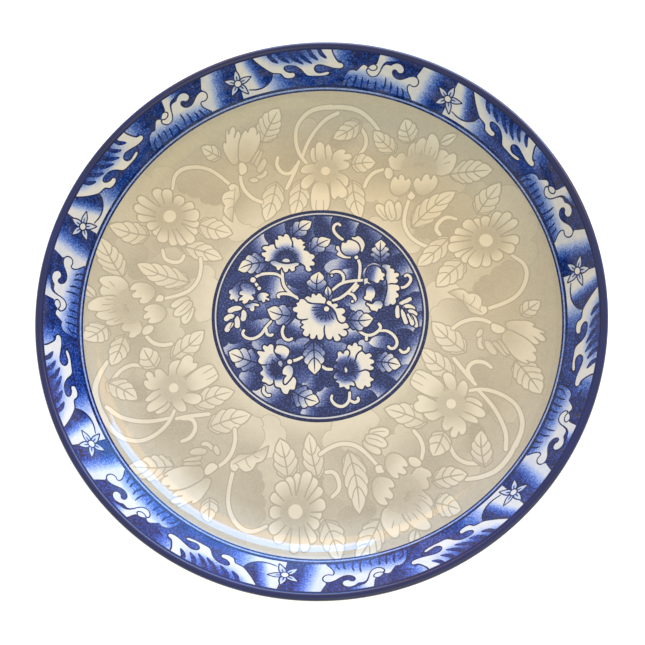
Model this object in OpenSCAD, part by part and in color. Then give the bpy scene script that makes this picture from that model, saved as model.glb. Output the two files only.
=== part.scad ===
// China serving platter: a deep coupe plate with printed decoration under a clear glaze.
// The frame is millimetres, +Z up, with the origin on the table under the plate's centre.

/* [Plate] */
// Outer diameter of the plate, over the lip
plate_d = 305; // [280:1:330]
// Height of the well's glazed surface above the table
well_h = 9.5; // [8.5:0.1:12]
// Wall thickness over the glaze, which is also the width of the round lip
wall_t = 4.4; // [4:0.1:5.2]

/* [Well and wall] */
// Run of the curved side, from the edge of the flat well to the outside of the lip
side_run = 37.9; // [35:0.1:39]
// Radius of the curve between the well and the wall
cove_r = 25.2; // [22:0.2:30]
// Slope at which that curve ends, in degrees
cove_slope = 56.6; // [50:0.2:60]
// Radius of the gently hollow wall above it
wall_r = 127; // [120:1:200]

/* [Foot ring] */
// Outer radius of the foot ring where it leaves the underside
foot_r = 95; // [85:1:98]
// Width of the foot ring at its root
foot_root_w = 8; // [7:0.5:10]
// Width of the bare face that stands on the table
foot_face_w = 3.6; // [3:0.2:4.4]
// Height of the bare band wiped clean of glaze around that face
bare_h = 1.2; // [0.8:0.1:2]

/* [Decoration] */
// Radius of the printed medallion
medallion_r = 63.4; // [50:0.2:80]
// Width of the painted band inside the lip, along the wall
band_w = 0.5; // [0.5:0.5:4]
// Angle past the lip's crest at which the painted band ends, in degrees
band_wrap = 62; // [30:1:80]
// Turn of the first border transfer from +X, in degrees
border_turn = 62.9; // [0:0.1:120]
// Turn of the first field transfer from +X, in degrees
field_turn = 43; // [0:1:120]

/* [Layers] */
// Thickness of the clear glaze
glaze_t = 0.35; // [0.3:0.05:0.6]
// Thickness of the printed colour
print_t = 0.2; // [0.15:0.05:0.3]

/* [Hidden] */
$fn = 96;

// Transfers laid end to end round the wall, and side by side round the well: one for each NODES entry
border_count = 7;
field_count = 3;

plate_r = plate_d / 2;
well_r = plate_r - side_run;
lip_r = wall_t / 2;
under_h = well_h - wall_t;
print_depth = glaze_t + print_t;

// Directions are measured from +R in the plane of the profile: -90 points straight down.
cove_end = cove_slope - 90;
cove_c = [well_r, well_h + cove_r];
wall_c = cove_c + (cove_r - wall_r) * [cos(cove_end), sin(cove_end)];
wall_end = -acos((plate_r - lip_r - wall_c.x) / (wall_r + lip_r));
lip_c = wall_c + (wall_r + lip_r) * [cos(wall_end), sin(wall_end)];
band_start = wall_end - band_w / wall_r * 180 / PI;
band_end = 90 - band_wrap;

foot_slope_w = (foot_root_w - foot_face_w) / 2;
foot_step = foot_slope_w * (under_h - bare_h) / under_h;

// Points of an arc in the profile, from one direction to another
function arc(centre, radius, from, to, steps) = [
    for (i = [0:steps])
        let (a = from + (to - from) * i / steps)
            centre + radius * [cos(a), sin(a)]
];
function reversed(points) = [for (i = [len(points) - 1:-1:0]) points[i]];

// The face of the plate at a depth below the glazed surface, from the inside outwards
function well(d, from) = [[from, well_h - d]];
function cove(d) = arc(cove_c, cove_r + d, -90, cove_end, 12);
function border(d) = arc(wall_c, wall_r + d, cove_end, band_start, 8);
function band(d) = concat(
    arc(wall_c, wall_r + d, band_start, wall_end, 2),
    arc(lip_c, lip_r - d, wall_end + 180, band_end, 16)
);

// The back of the plate at a depth below its surface, from the band to the foot ring
function lip_back(d) = arc(lip_c, lip_r - d, band_end, wall_end, 6);
function back(d) = concat(
    arc(wall_c, wall_r + wall_t - d, wall_end, cove_end, 10),
    arc(cove_c, cove_r + wall_t - d, cove_end, -90, 12)
);
function foot_outside(d) = [
    [foot_r - d, under_h + d],
    [foot_r - foot_step - d, bare_h]
];
function foot_inside(d) = [
    [foot_r - foot_root_w + foot_step + d, bare_h],
    [foot_r - foot_root_w + d, under_h + d]
];
function recess(d) = [[0, under_h + d]];

// The bare foot below the glaze, with its two edges broken by a small chamfer
function bare_foot() = let (
    outside = foot_r - foot_slope_w,
    inside = outside - foot_face_w,
    edge = 0.4
) [
    [outside, edge],
    [outside - edge, 0],
    [inside + edge, 0],
    [inside, edge]
];

module turned(points, turn = 0, angle = 360) {
    rotate([0, 0, turn])
        rotate_extrude(angle = angle)
            polygon(points);
}

// A layer of the face between two depths, following one stretch of the profile
module layer(outer, inner, turn = 0, angle = 360) {
    turned(concat(outer, reversed(inner)), turn, angle);
}

module porcelain_body() {
    color("ivory")
        turned(concat(
            well(print_depth, 0), cove(print_depth), border(print_depth), band(print_depth),
            lip_back(glaze_t), back(glaze_t), foot_outside(glaze_t), bare_foot(),
            foot_inside(glaze_t), recess(glaze_t)
        ));
}

module face_and_back_glaze() {
    color("white", 0.4)
        layer(
            concat(well(0, 0), cove(0), border(0), band(0), lip_back(0), back(0), foot_outside(0)),
            concat(
                well(glaze_t, 0), cove(glaze_t), border(glaze_t), band(glaze_t),
                lip_back(glaze_t), back(glaze_t), foot_outside(glaze_t)
            )
        );
}

module foot_recess_glaze() {
    color("white", 0.4)
        layer(concat(foot_inside(0), recess(0)), concat(foot_inside(glaze_t), recess(glaze_t)));
}

module lip_band() {
    color("midnightblue")
        layer(band(glaze_t), band(print_depth));
}

module border_transfer(index) {
    angle = 360 / border_count;
    color("royalblue")
        layer(border(glaze_t), border(print_depth), border_turn + index * angle, angle);
}

module field_transfer(index) {
    angle = 360 / field_count;
    color("lemonchiffon")
        layer(
            concat(well(glaze_t, medallion_r), cove(glaze_t)),
            concat(well(print_depth, medallion_r), cove(print_depth)),
            field_turn + index * angle, angle
        );
}

module medallion_transfer() {
    color("mediumblue")
        layer(
            [[0, well_h - glaze_t], [medallion_r, well_h - glaze_t]],
            [[0, well_h - print_depth], [medallion_r, well_h - print_depth]]
        );
}

porcelain_body();
face_and_back_glaze();
foot_recess_glaze();
lip_band();
for (i = [1:border_count])
    border_transfer(i - 1);
for (i = [1:field_count])
    field_transfer(i - 1);
medallion_transfer();
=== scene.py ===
import math

import bpy
import numpy as np
from mathutils import Matrix, Vector
from mathutils.geometry import delaunay_2d_cdt


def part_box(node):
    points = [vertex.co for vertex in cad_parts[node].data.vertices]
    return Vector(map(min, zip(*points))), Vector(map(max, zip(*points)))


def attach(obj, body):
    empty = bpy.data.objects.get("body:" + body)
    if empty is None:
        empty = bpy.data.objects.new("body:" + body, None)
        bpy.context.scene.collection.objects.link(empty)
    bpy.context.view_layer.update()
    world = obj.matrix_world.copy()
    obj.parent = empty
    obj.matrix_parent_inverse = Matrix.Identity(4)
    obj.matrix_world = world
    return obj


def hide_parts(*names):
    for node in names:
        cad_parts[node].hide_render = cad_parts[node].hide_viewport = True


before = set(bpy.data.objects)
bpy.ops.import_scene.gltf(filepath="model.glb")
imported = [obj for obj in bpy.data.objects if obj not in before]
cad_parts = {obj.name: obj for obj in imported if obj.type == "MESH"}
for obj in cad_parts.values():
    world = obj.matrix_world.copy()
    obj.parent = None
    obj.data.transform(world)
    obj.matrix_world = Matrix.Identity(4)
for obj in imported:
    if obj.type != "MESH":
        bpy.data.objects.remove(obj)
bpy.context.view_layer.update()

# Looks of the china serving platter: a printed and glazed plate on a pale floor.
# The decoration is drawn flat in millimetres, cut into triangles that carry an ink value,
# and laid on the curved face of the plate. Metres are used only for the finished meshes,
# the lights and the camera.
MM = 0.001

# ---------------------------------------------------------------- driving dimensions, mm
GLAZE = 0.35
PRINT = 0.2
# The air between a printed or glazed skin and the porcelain under it
GAP = 0.05
PLATE_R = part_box("face_and_back_glaze")[1].x / MM
MEDALLION_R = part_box("medallion_transfer")[1].x / MM
WELL_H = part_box("medallion_transfer")[1].z / MM + GLAZE
RECESS_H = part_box("foot_recess_glaze")[1].z / MM - GLAZE
BARE_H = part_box("foot_recess_glaze")[0].z / MM
RECESS_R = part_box("foot_recess_glaze")[1].x / MM
WALL_T = WELL_H - RECESS_H
SIDE_RUN = 37.9
COVE_R = 25.2
COVE_SLOPE = math.radians(56.6)
WALL_R = 127.0
BAND_W = 0.5
BAND_WRAP = math.radians(62)
FOOT_R = 95.0
FOOT_TAPER = 1.68
FOOT_OUT = FOOT_R - FOOT_TAPER
FOOT_FACE_W = 3.6
FOOT_ROUND = 0.9
FILLET = 1.4

# What follows from them: centres are (radius, height), slopes are of the face
WELL_R = PLATE_R - SIDE_RUN
LIP_R = WALL_T / 2
COVE_C = (WELL_R, WELL_H + COVE_R)
WALL_C = (
    COVE_C[0] + (COVE_R - WALL_R) * math.sin(COVE_SLOPE),
    COVE_C[1] - (COVE_R - WALL_R) * math.cos(COVE_SLOPE),
)
WALL_SLOPE = math.asin((PLATE_R - LIP_R - WALL_C[0]) / (WALL_R + LIP_R))
LIP_C = (
    WALL_C[0] + (WALL_R + LIP_R) * math.sin(WALL_SLOPE),
    WALL_C[1] - (WALL_R + LIP_R) * math.cos(WALL_SLOPE),
)
BAND_SLOPE = WALL_SLOPE - BAND_W / WALL_R
BORDER_IN_R = WELL_R + COVE_R * math.sin(COVE_SLOPE)
BORDER_H = WALL_R * (BAND_SLOPE - COVE_SLOPE)

# The border's drawing repeats round the wall, the field's round a centre of its own. The star
# flowers start at STAR_TURN, and the border's pieces and the field's meet at the other turns.
BORDER_COUNT = 7
BORDER_MEAN_R = 142.75
BORDER_TURN = math.radians(62.9)
STAR_TURN = math.radians(109.41)
BORDER_STEP = 2 * math.pi / BORDER_COUNT
REPEAT = BORDER_STEP * BORDER_MEAN_R
FIELD_COUNT = 3
FIELD_TURN = math.radians(43)
FIELD_STEP = 2 * math.pi / FIELD_COUNT
FIELD_CENTRE = (-2.08, -2.70)

# How deep the undersides of the printed skins and of the plain glaze skins lie
UNDER = GLAZE + PRINT - GAP
GLAZE_UNDER = GLAZE - GAP
# Points of a drawing that are nearer than this are made one
SNAP = 0.002
LONGEST_EDGE = 2.0
# Steps round the plate: a multiple of both BORDER_COUNT and FIELD_COUNT
TURN_STEPS = 504
SHARP_ANGLE = math.radians(35)
# The share of a pen line over which it thins towards its end
THINNING = 0.35


# ---------------------------------------------------------------- curves
def unit(v):
    length = np.hypot(v[..., 0], v[..., 1])[..., None]
    return v / np.maximum(length, 1e-9)


def smooth(points, closed=True, step=0.7):
    """A round curve through the points. A point with a third number is a sharp corner."""
    p = np.array([q[:2] for q in points], float)
    sharp = [len(q) > 2 for q in points]
    n = len(p)
    chord = np.roll(p, -1, 0) - p
    before = unit(np.roll(chord, 1, 0))
    after = unit(chord)
    mean = unit(np.roll(p, -1, 0) - np.roll(p, 1, 0))
    out = []
    for i in range(n if closed else n - 1):
        j = (i + 1) % n
        size = float(np.hypot(*chord[i]))
        ends = (after[i], before[j])
        start = ends[0] if sharp[i] or (not closed and i == 0) else mean[i]
        stop = ends[1] if sharp[j] or (not closed and j == n - 1) else mean[j]
        t = np.linspace(0, 1, max(2, int(size / step) + 1), endpoint=False)[:, None]
        out.append(
            (2 * t**3 - 3 * t**2 + 1) * p[i]
            + (t**3 - 2 * t**2 + t) * start * size
            + (3 * t**2 - 2 * t**3) * p[j]
            + (t**3 - t**2) * stop * size
        )
    if not closed:
        out.append(p[-1:])
    return np.concatenate(out)


def fine(outline):
    """The same closed outline with points between, so that no edge is too long."""
    out = []
    for a, b in zip(outline, np.roll(outline, -1, 0)):
        t = np.linspace(0, 1, int(math.hypot(*(b - a)) / LONGEST_EDGE) + 2)[:-1, None]
        out.append(a + (b - a) * t)
    return np.concatenate(out)


def area(p):
    x, y = p[:, 0], p[:, 1]
    return 0.5 * float(np.sum(x * np.roll(y, -1) - y * np.roll(x, -1)))


def lobed(notches, bulge=0.3, step=0.7):
    """A closed outline that swells outwards in a round lobe between each pair of points."""
    p = np.array(notches, float)
    if area(p) < 0:
        p = p[::-1]
    out = []
    for a, b in zip(p, np.roll(p, -1, 0)):
        chord = b - a
        size = float(np.hypot(*chord))
        outwards = np.array([chord[1], -chord[0]])
        t = np.linspace(0, 1, max(3, int(1.3 * size / step) + 1), endpoint=False)[:, None]
        out.append(a + chord * (t - 0.08 * np.sin(2 * math.pi * t)) + outwards * bulge * 4 * t * (1 - t))
    return np.concatenate(out)


def disc(centre, radius, step=0.7):
    n = max(10, int(2 * math.pi * radius / step))
    a = np.arange(n) * 2 * math.pi / n
    return np.array(centre) + radius * np.stack([np.cos(a), np.sin(a)], 1)


def circle_part(radius, start, stop, steps):
    a = np.linspace(start, stop, steps + 1)
    return radius * np.stack([np.cos(a), np.sin(a)], 1)


def polar(centre, radius, degrees):
    a = math.radians(degrees)
    return (centre[0] + radius * math.cos(a), centre[1] + radius * math.sin(a))


# ---------------------------------------------------------------- ink
def fade(start, stop, first, last):
    """An ink that goes from one tone at start to another at stop."""
    a, b = np.array(start, float), np.array(stop, float)

    def tone(p):
        t = (p - a) @ (b - a) / float((b - a) @ (b - a))
        return first + (last - first) * np.clip(t, 0, 1)

    return tone


def glow(centre, inner, outer, first, last):
    """An ink that changes outwards from a centre."""

    def tone(p):
        r = np.hypot(p[:, 0] - centre[0], p[:, 1] - centre[1])
        return first + (last - first) * np.clip((r - inner) / (outer - inner), 0, 1)

    return tone


def capped(path, more, radius):
    """The path made longer at both ends, with extra points where it will be rounded."""
    ways = unit(np.diff(path, axis=0))
    path = np.concatenate([path[:1] - ways[:1] * more, path[1:-1], path[-1:] + ways[-1:] * more])
    along = np.concatenate([[0], np.cumsum(np.hypot(*np.diff(path, axis=0).T))])
    near = radius * (1 - np.cos(np.linspace(0, math.pi / 2, 5)))
    between = along[(along > radius) & (along < along[-1] - radius)]
    at = np.concatenate([near, between, along[-1] - near[::-1]])
    at = np.unique(np.clip(at, 0, along[-1]))
    return np.stack([np.interp(at, along, path[:, i]) for i in (0, 1)], 1)


def strip_triangles(left, right):
    """The triangles between a line's two sides, without those that are too thin to matter."""
    out = []
    for i in range(len(left) - 1):
        for tri in ((left[i], right[i], right[i + 1]), (left[i], right[i + 1], left[i + 1])):
            if abs(area(np.array(tri))) > 1e-4:
                out.append(np.array(tri))
    return out


class Drawing:
    """Flat shapes in the order that they are laid down; a later one covers an earlier one."""

    def __init__(self):
        self.shapes = []

    def put(self, polygons, tone):
        ink = tone if callable(tone) else (lambda p: np.full(len(p), tone))
        self.shapes.append((polygons, ink, 0.0, (0.0, 0.0)))

    def fill(self, outline, tone):
        self.put([fine(np.asarray(outline, float))], tone)

    def line(self, path, width, tone, ends=(1, 1), closed=False, cap=0.0):
        """A pen line along a path; ends say how much of the width is left at each end.
        With a cap the line runs that much further at both ends and is rounded there."""
        path = np.asarray(path, float)
        if closed:
            path = np.concatenate([path, path[:1]])
        if cap:
            path = capped(path, cap, width / 2)
        step = np.hypot(*np.diff(path, axis=0).T)
        long = max(step.sum(), 1e-9)
        along = np.concatenate([[0], np.cumsum(step)]) / long
        first = ends[0] + (1 - ends[0]) * np.sqrt(np.clip(along / THINNING, 0, 1))
        last = ends[1] + (1 - ends[1]) * np.sqrt(np.clip((1 - along) / THINNING, 0, 1))
        half = width / 2 * np.minimum(first, last)
        if cap:
            near = np.clip(np.minimum(along, 1 - along) * long / (width / 2), 0, 1)
            half = half * np.sqrt(1 - (1 - near) ** 2)
        ways = unit(np.diff(path, axis=0))
        ways = np.concatenate([ways[:1], ways, ways[-1:]])
        mean = unit(ways[1:] + ways[:-1])
        if closed:
            mean[0] = mean[-1] = unit(ways[:1] + ways[-1:])[0]
        side = np.stack([-mean[:, 1], mean[:, 0]], 1) * half[:, None]
        self.put(strip_triangles(path + side, path - side), tone)

    def shape(self, outline, tone, edge, width):
        self.fill(outline, tone)
        self.line(outline, width, edge, closed=True)

    def copied(self, turn=0.0, move=(0.0, 0.0)):
        """The same shapes turned round the origin and then moved."""
        out = Drawing()
        for polygons, tone, old_turn, old_move in self.shapes:
            x, y = turned_point(old_move, turn)
            out.shapes.append((polygons, tone, old_turn + turn, (x + move[0], y + move[1])))
        return out

    def add(self, other):
        self.shapes.extend(other.shapes)


def turned_point(p, turn):
    c, s = math.cos(turn), math.sin(turn)
    return (p[0] * c - p[1] * s, p[0] * s + p[1] * c)


def placed(p, turn, move):
    c, s = math.cos(turn), math.sin(turn)
    return p @ np.array([[c, s], [-s, c]]) + np.array(move)


def unplaced(p, turn, move):
    c, s = math.cos(turn), math.sin(turn)
    return (p - np.array(move)) @ np.array([[c, -s], [s, c]])


# ---------------------------------------------------------------- cutting a drawing into triangles
def spread(outline, spacing):
    """Points on an even grid over the outline's box."""
    low, high = outline.min(0) + spacing * 0.37, outline.max(0)
    x, y = np.meshgrid(np.arange(low[0], high[0], spacing), np.arange(low[1], high[1], spacing))
    x[1::2] += spacing / 2
    return np.stack([x.ravel(), y.ravel()], 1)


def triangles(outline, polygons, extra):
    """Triangles that follow the outline and every polygon's edges, inside the outline only."""
    low, high = outline.min(0) - 5, outline.max(0) + 5
    frame_points = np.array([low, high, (low[0], high[1]), (high[0], low[1])])
    points, edges, count = [], [], 0
    for polygon in [outline, *polygons]:
        points.append(polygon)
        edges += [(count + i, count + (i + 1) % len(polygon)) for i in range(len(polygon))]
        count += len(polygon)
    flat = [Vector((float(x), float(y))) for x, y in np.concatenate([*points, extra, frame_points])]
    corners, _, found, source, _, _ = delaunay_2d_cdt(flat, edges, [], 0, SNAP)
    corners = np.array([tuple(c) for c in corners])
    found = np.array(found, int)
    return corners, found[inside(corners[found].mean(1), outline)], source


def inside(p, polygon):
    """Which points lie inside a polygon."""
    a, b = polygon, np.roll(polygon, -1, 0)
    span = (a[:, 1] > p[:, 1:2]) != (b[:, 1] > p[:, 1:2])
    rise = np.where(b[:, 1] == a[:, 1], 1, b[:, 1] - a[:, 1])
    cross = a[:, 0] + (p[:, 1:2] - a[:, 1]) * (b[:, 0] - a[:, 0]) / rise
    return (span & (p[:, :1] < cross)).sum(1) % 2 == 1


class Cells:
    """Points sorted into square cells, so that those near a shape are found quickly."""

    def __init__(self, points, size=3.0):
        self.points, self.size, self.cells = points, size, {}
        for i, key in enumerate(map(tuple, np.floor(points / size).astype(int).tolist())):
            self.cells.setdefault(key, []).append(i)

    def within(self, polygon):
        low = np.floor(polygon.min(0) / self.size).astype(int)
        high = np.floor(polygon.max(0) / self.size).astype(int)
        near = []
        for x in range(low[0], high[0] + 1):
            for y in range(low[1], high[1] + 1):
                near += self.cells.get((x, y), [])
        near = np.array(near, int)
        return near[inside(self.points[near], polygon)] if len(near) else near


def cut(outline, drawing, spacing):
    """The drawing cut to the outline: points, triangles and the ink at each corner."""
    low, high = outline.min(0) - 1, outline.max(0) + 1
    polygons, owner = [], []
    for index, (shape, _, turn, move) in enumerate(drawing.shapes):
        for polygon in shape:
            at = placed(polygon, turn, move)
            if (at.max(0) > low).all() and (at.min(0) < high).all():
                polygons.append(at)
                owner.append(index)
    points, tris, _ = triangles(outline, polygons, spread(outline, spacing))
    cells = Cells(points[tris].mean(1))
    top = np.zeros(len(tris), int)
    for index, polygon in zip(owner, polygons):
        top[cells.within(polygon)] = index
    ink = np.zeros(tris.shape)
    for index in np.unique(top):
        mine = top == index
        _, tone, turn, move = drawing.shapes[index]
        ink[mine] = tone(unplaced(points[tris[mine]].reshape(-1, 2), turn, move)).reshape(-1, 3)
    used, tris = np.unique(tris, return_inverse=True)
    return points[used], tris.reshape(-1, 3), ink


def edge_loop(tris):
    """The vertices round the outside, in order."""
    pairs = np.concatenate([tris[:, [0, 1]], tris[:, [1, 2]], tris[:, [2, 0]]])
    there = set(map(tuple, pairs.tolist()))
    follow = {a: b for a, b in there if (b, a) not in there}
    start = min(follow)
    loop = [start]
    while follow[loop[-1]] != start:
        loop.append(follow[loop[-1]])
    return loop


# ---------------------------------------------------------------- the plate's face
def arc_point(centre, radius, slope):
    return centre[0] + radius * np.sin(slope), centre[1] - radius * np.cos(slope)


def on_field(p, depth):
    """A point of the plan laid on the well and the cove, and which way its surface faces."""
    r = np.hypot(p[:, 0], p[:, 1])
    slope = np.arcsin(np.clip((r - WELL_R) / COVE_R, 0, 1))
    out, up = arc_point(COVE_C, COVE_R + depth, slope)
    out = np.where(r <= WELL_R, r, out)
    way = p / np.maximum(r, 1e-6)[:, None]
    return laid(way, out, up), laid(way, -np.sin(slope), np.cos(slope))


def on_wall(turn):
    """The same for the border, whose drawing starts at a turn round the plate."""

    def place(p, depth):
        angle = turn - p[:, 0] / BORDER_MEAN_R
        slope = COVE_SLOPE + p[:, 1] / WALL_R
        out, up = arc_point(WALL_C, WALL_R + depth, slope)
        way = np.stack([np.cos(angle), np.sin(angle)], 1)
        return laid(way, out, up), laid(way, -np.sin(slope), np.cos(slope))

    return place


def laid(way, out, up):
    return np.stack([way[:, 0] * out, way[:, 1] * out, up], 1)


# ---------------------------------------------------------------- meshes
def add_mesh(name, verts, faces, normals=None):
    mesh = bpy.data.meshes.new(name)
    mesh.from_pydata((np.asarray(verts) * MM).tolist(), [], faces)
    mesh.update()
    obj = bpy.data.objects.new(name, mesh)
    bpy.context.scene.collection.objects.link(obj)
    mesh.polygons.foreach_set("use_smooth", [True] * len(mesh.polygons))
    if normals is not None:
        mesh.normals_split_custom_set(normals.tolist())
    return obj


def printed(name, flat, place, spacing):
    """A closed skin whose upper side carries the cut drawing and whose underside is plain."""
    points, tris, ink = flat
    loop = edge_loop(tris)
    rim = points[loop]
    below, under_tris, source = triangles(rim, [], spread(rim, spacing))
    used, under_tris = np.unique(under_tris, return_inverse=True)
    top, facing = place(points, 0.0)
    base, _ = place(below[used], UNDER)
    count = len(top)
    of_rim = {i: k for k, at in enumerate(used) for i in source[at] if i < len(rim)}
    faces = tris.tolist() + (under_tris.reshape(-1, 3)[:, ::-1] + count).tolist()
    under = len(faces) - len(tris)
    for i, a in enumerate(loop):
        j = (i + 1) % len(loop)
        faces.append([a, count + of_rim[i], count + of_rim[j], loop[j]])
    normals = np.zeros((3 * len(tris) + 3 * under + 4 * len(loop), 3))
    normals[: 3 * len(tris)] = facing[tris.ravel()]
    obj = add_mesh(name, np.concatenate([top, base]), faces, normals)
    shade = obj.data.attributes.new("ink", "FLOAT", "CORNER")
    values = np.zeros(len(normals), np.float32)
    values[: ink.size] = ink.ravel()
    shade.data.foreach_set("value", values)
    return obj


def turned_piece(name, profile):
    """A closed profile of (radius, height) points turned once round the plate's axis."""
    profile = np.array(profile)
    if area(profile) < 0:
        profile = profile[::-1]
    angle = np.arange(TURN_STEPS) * 2 * math.pi / TURN_STEPS
    on_axis = profile[:, 0] < 1e-6
    n, verts, rings = len(profile), [], []
    for (r, z), axis in zip(profile, on_axis):
        rings.append((len(verts), 1 if axis else TURN_STEPS))
        if axis:
            verts.append((0.0, 0.0, z))
        else:
            verts.extend(zip(r * np.cos(angle), r * np.sin(angle), [z] * TURN_STEPS))
    faces = []
    for i in range(n):
        (a, na), (b, nb) = rings[i], rings[(i + 1) % n]
        if na == nb == 1:
            continue
        for k in range(TURN_STEPS):
            m = (k + 1) % TURN_STEPS
            ring = [a + k % na, a + m % na, b + m % nb, b + k % nb]
            faces.append([v for q, v in enumerate(ring) if v not in ring[:q]])
    obj = add_mesh(name, verts, faces)
    obj.data.set_sharp_from_angle(angle=SHARP_ANGLE)
    return obj


# ---------------------------------------------------------------- the border's drawing
LINE = 0.9


def star_flower(d, centre):
    """A small five-petalled flower, each petal pointed, outlined and with a dark vein."""
    tips = ((1.0, 9.1), (8.8, 2.0), (4.3, -8.4), (-6.2, -6.3), (-7.5, 4.8))
    for x, y in tips:
        length = math.hypot(x, y)
        turn = math.atan2(y, x)
        wide = 1.75 if length > 8.5 else 1.55
        half = [(1.2, 0.6), (3.0, wide), (5.2, wide * 0.95), (length - 1.0, 0.55)]
        outline = smooth([*half, (length, 0, 1), *[(a, -b) for a, b in reversed(half)]], step=0.5)
        at = placed(outline, turn, centre)
        vein = placed(smooth([(2.2, 0), (3.4, 0.1), (5.0, 0)], False), turn, centre)
        d.shape(at, fade((centre[0], centre[1]), (centre[0] + x, centre[1] + y), 0.25, 0.04), 1.0, 0.8)
        d.line(vein, 0.75, 0.92, ends=(1, 0.2))
    d.fill(disc(centre, 2.6), 1.0)
    d.fill(disc(centre, 1.8), 0.03)


def level(low, high):
    """A strip all along the border, between two heights."""
    return [(-20, low), (150, low), (150, high), (-20, high)]


def end_tone(shift):
    """The fade of the last panel, which the next copy of the drawing takes up at its left."""
    return fade((110.6 + shift, 14), (121 + shift, 12), 0.06, 0.88)


def border_ground(d):
    d.fill(level(-1, 30), 0.9)
    d.fill(smooth([(-13, 4, 1), (-13, 31, 1), (-4, 31), (1, 26), (0.6, 20), (0, 3.9, 1)]), end_tone(-REPEAT))


def leaf_panels(d):
    """The two pale panels to the right of the flower, one above a leaf's curve and one below."""
    sweep = [(5, 8.3), (10, 7), (15, 7.5), (19.5, 10.5), (21.5, 14.3)]
    below = [(-0.2, 3.9, 1), (0.5, 9), (1.2, 12, 1), (22, 14.6, 1), (26.3, 13.4), (31, 9.6), (57, 9),
             (57, 3.9, 1)]
    d.fill(smooth(below), fade((16, 5), (33, 8), 0.05, 0.78))
    above = [(1, 12, 1), (1, 22.3), (1.8, 29, 1), (12, 29, 1), (14, 24), (19.5, 17.5), (21.5, 14.3, 1),
             (19.5, 10.5), (15, 7.5), (10, 7), (5, 8.3)]
    d.fill(smooth(above), fade((7.2, 18), (14.2, 20), 0.03, 0.9))
    d.line(smooth(sweep, False), 1.0, 1.0, ends=(0.6, 0.6))


def wave_with_fringe(d):
    """The long wave that hangs from the band, fringed above and curling at three tips."""
    lower = [(11, 28.8, 1), (13, 25), (16, 20.5), (20, 16), (22, 14.6), (25, 13.8), (26.3, 13.2), (28, 10.5),
             (31, 9.6), (34, 10.2), (34.8, 11.8), (34, 13.2), (31.5, 13.6), (29.6, 14.8), (28.7, 16.5),
             (29.5, 17.7), (32, 17.9), (35.5, 17), (38.5, 14.5), (40.5, 11.5), (42.5, 10), (46, 9.7),
             (50, 9.6), (54, 10.3), (55.6, 11.8), (54.5, 12.7), (51.5, 12.2), (49.2, 11.8), (47.2, 12.8),
             (46.5, 14.8), (47.8, 16.6), (50, 17), (54, 15.9), (58, 14.8), (62, 14.8), (63.8, 16.2),
             (63.2, 18.3), (61, 19), (60, 20), (58.6, 22.5), (57.4, 25.5), (57, 28.8, 1)]
    outline = smooth(lower + [(34, 28.8, 1)], step=0.6)

    def tone(p):
        low = 0.72 * np.clip((p[:, 1] - 15.5) / 9.5, 0, 1)
        left = np.clip((p[:, 0] + 0.9 * p[:, 1] - 38.5) / 12, 0, 1)
        right = np.clip((62 - p[:, 0] - 0.35 * p[:, 1]) / 13, 0, 1)
        return 0.02 + low * left * right

    d.fill(outline, tone)
    for top, x, y in ((21, 26, 20.5), (26, 32.5, 19.5), (31.5, 40.5, 17.8), (37.5, 45.3, 17.8),
                      (43.5, 49, 20), (49.5, 54, 21)):
        bend = (top + 0.42 * (x - top) - 0.6, y + 0.45 * (28.8 - y))
        path = smooth([(top, 28.8), bend, (x, y)], False)
        d.line(path[::-1], 2.6, fade((top, 28), (x, y), 0.93, 0.8), ends=(0.12, 1))
    d.line(smooth(lower, False, step=0.6), LINE, 1.0, ends=(1, 1))


def middle_shades(d):
    """The light patch right of the fringed wave, a small cloud and the panels under them."""
    d.fill(smooth([(57, 28.8, 1), (57.6, 25), (60, 20.3), (63.5, 20.6), (72, 22, 1), (72, 28.8, 1)]),
           fade((58.5, 25), (70, 25), 0.28, 0.9))
    d.fill(smooth([(63, 20.3), (66.5, 19.6), (69.5, 18), (71, 15, 1), (64, 13, 1)]),
           fade((65, 20.5), (69.5, 14), 0.5, 0.9))
    d.fill(smooth([(54.5, 9, 1), (57.5, 12.5), (58, 14.6), (63.5, 14.6), (66, 12, 1), (63, 4, 1),
                   (56.5, 4, 1)]),
           fade((57, 14), (62, 7), 0.7, 0.9))
    d.fill(smooth([(29, 16.6), (31, 17.6), (35, 16.6), (38.4, 13.6), (37, 11.5), (35.5, 12.5), (33, 14.2),
                   (30.3, 14.8)]), fade((29, 16), (38, 13), 0.66, 0.82))
    d.fill(smooth([(47, 14.6), (48.5, 16.3), (53, 15.7), (57.5, 14.3), (56.8, 12), (54.6, 13.6),
                   (49.5, 12.6)]),
           fade((47, 15), (58, 13), 0.66, 0.86))


def column_panel(d):
    """The pale column that rises behind the curling wave, and the dark panel right of it."""
    outline = [(77.6, 15.5, 1), (78.8, 12.5), (81, 11.8), (83.6, 13), (85.2, 15.8), (86.2, 19.3),
               (87.6, 22.4), (90, 24.2, 1), (97, 26.5, 1), (97, 28.8, 1), (84.1, 28.8, 1), (82.8, 20.8)]
    d.fill(smooth(outline), fade((87, 25), (96.5, 26.5), 0.04, 0.9))
    d.line(smooth([(82.6, 20.6), (83.3, 24.5), (84.1, 28.8)], False), 0.8, 0.98)


def right_panel(d):
    """The pale panel that fades round to the next flower."""
    outline = [(107, 4, 1), (104.6, 8), (103.2, 11.5), (104.5, 13, 1), (108.8, 15), (107, 20.5), (108, 24),
               (109.5, 28.8, 1), (126, 28.8, 1), (126, 4, 1)]
    d.fill(smooth(outline), end_tone(0))
    d.line(smooth([(106.6, 20.3), (108, 24), (109.5, 28.8)], False), 0.8, 0.98)


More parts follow.
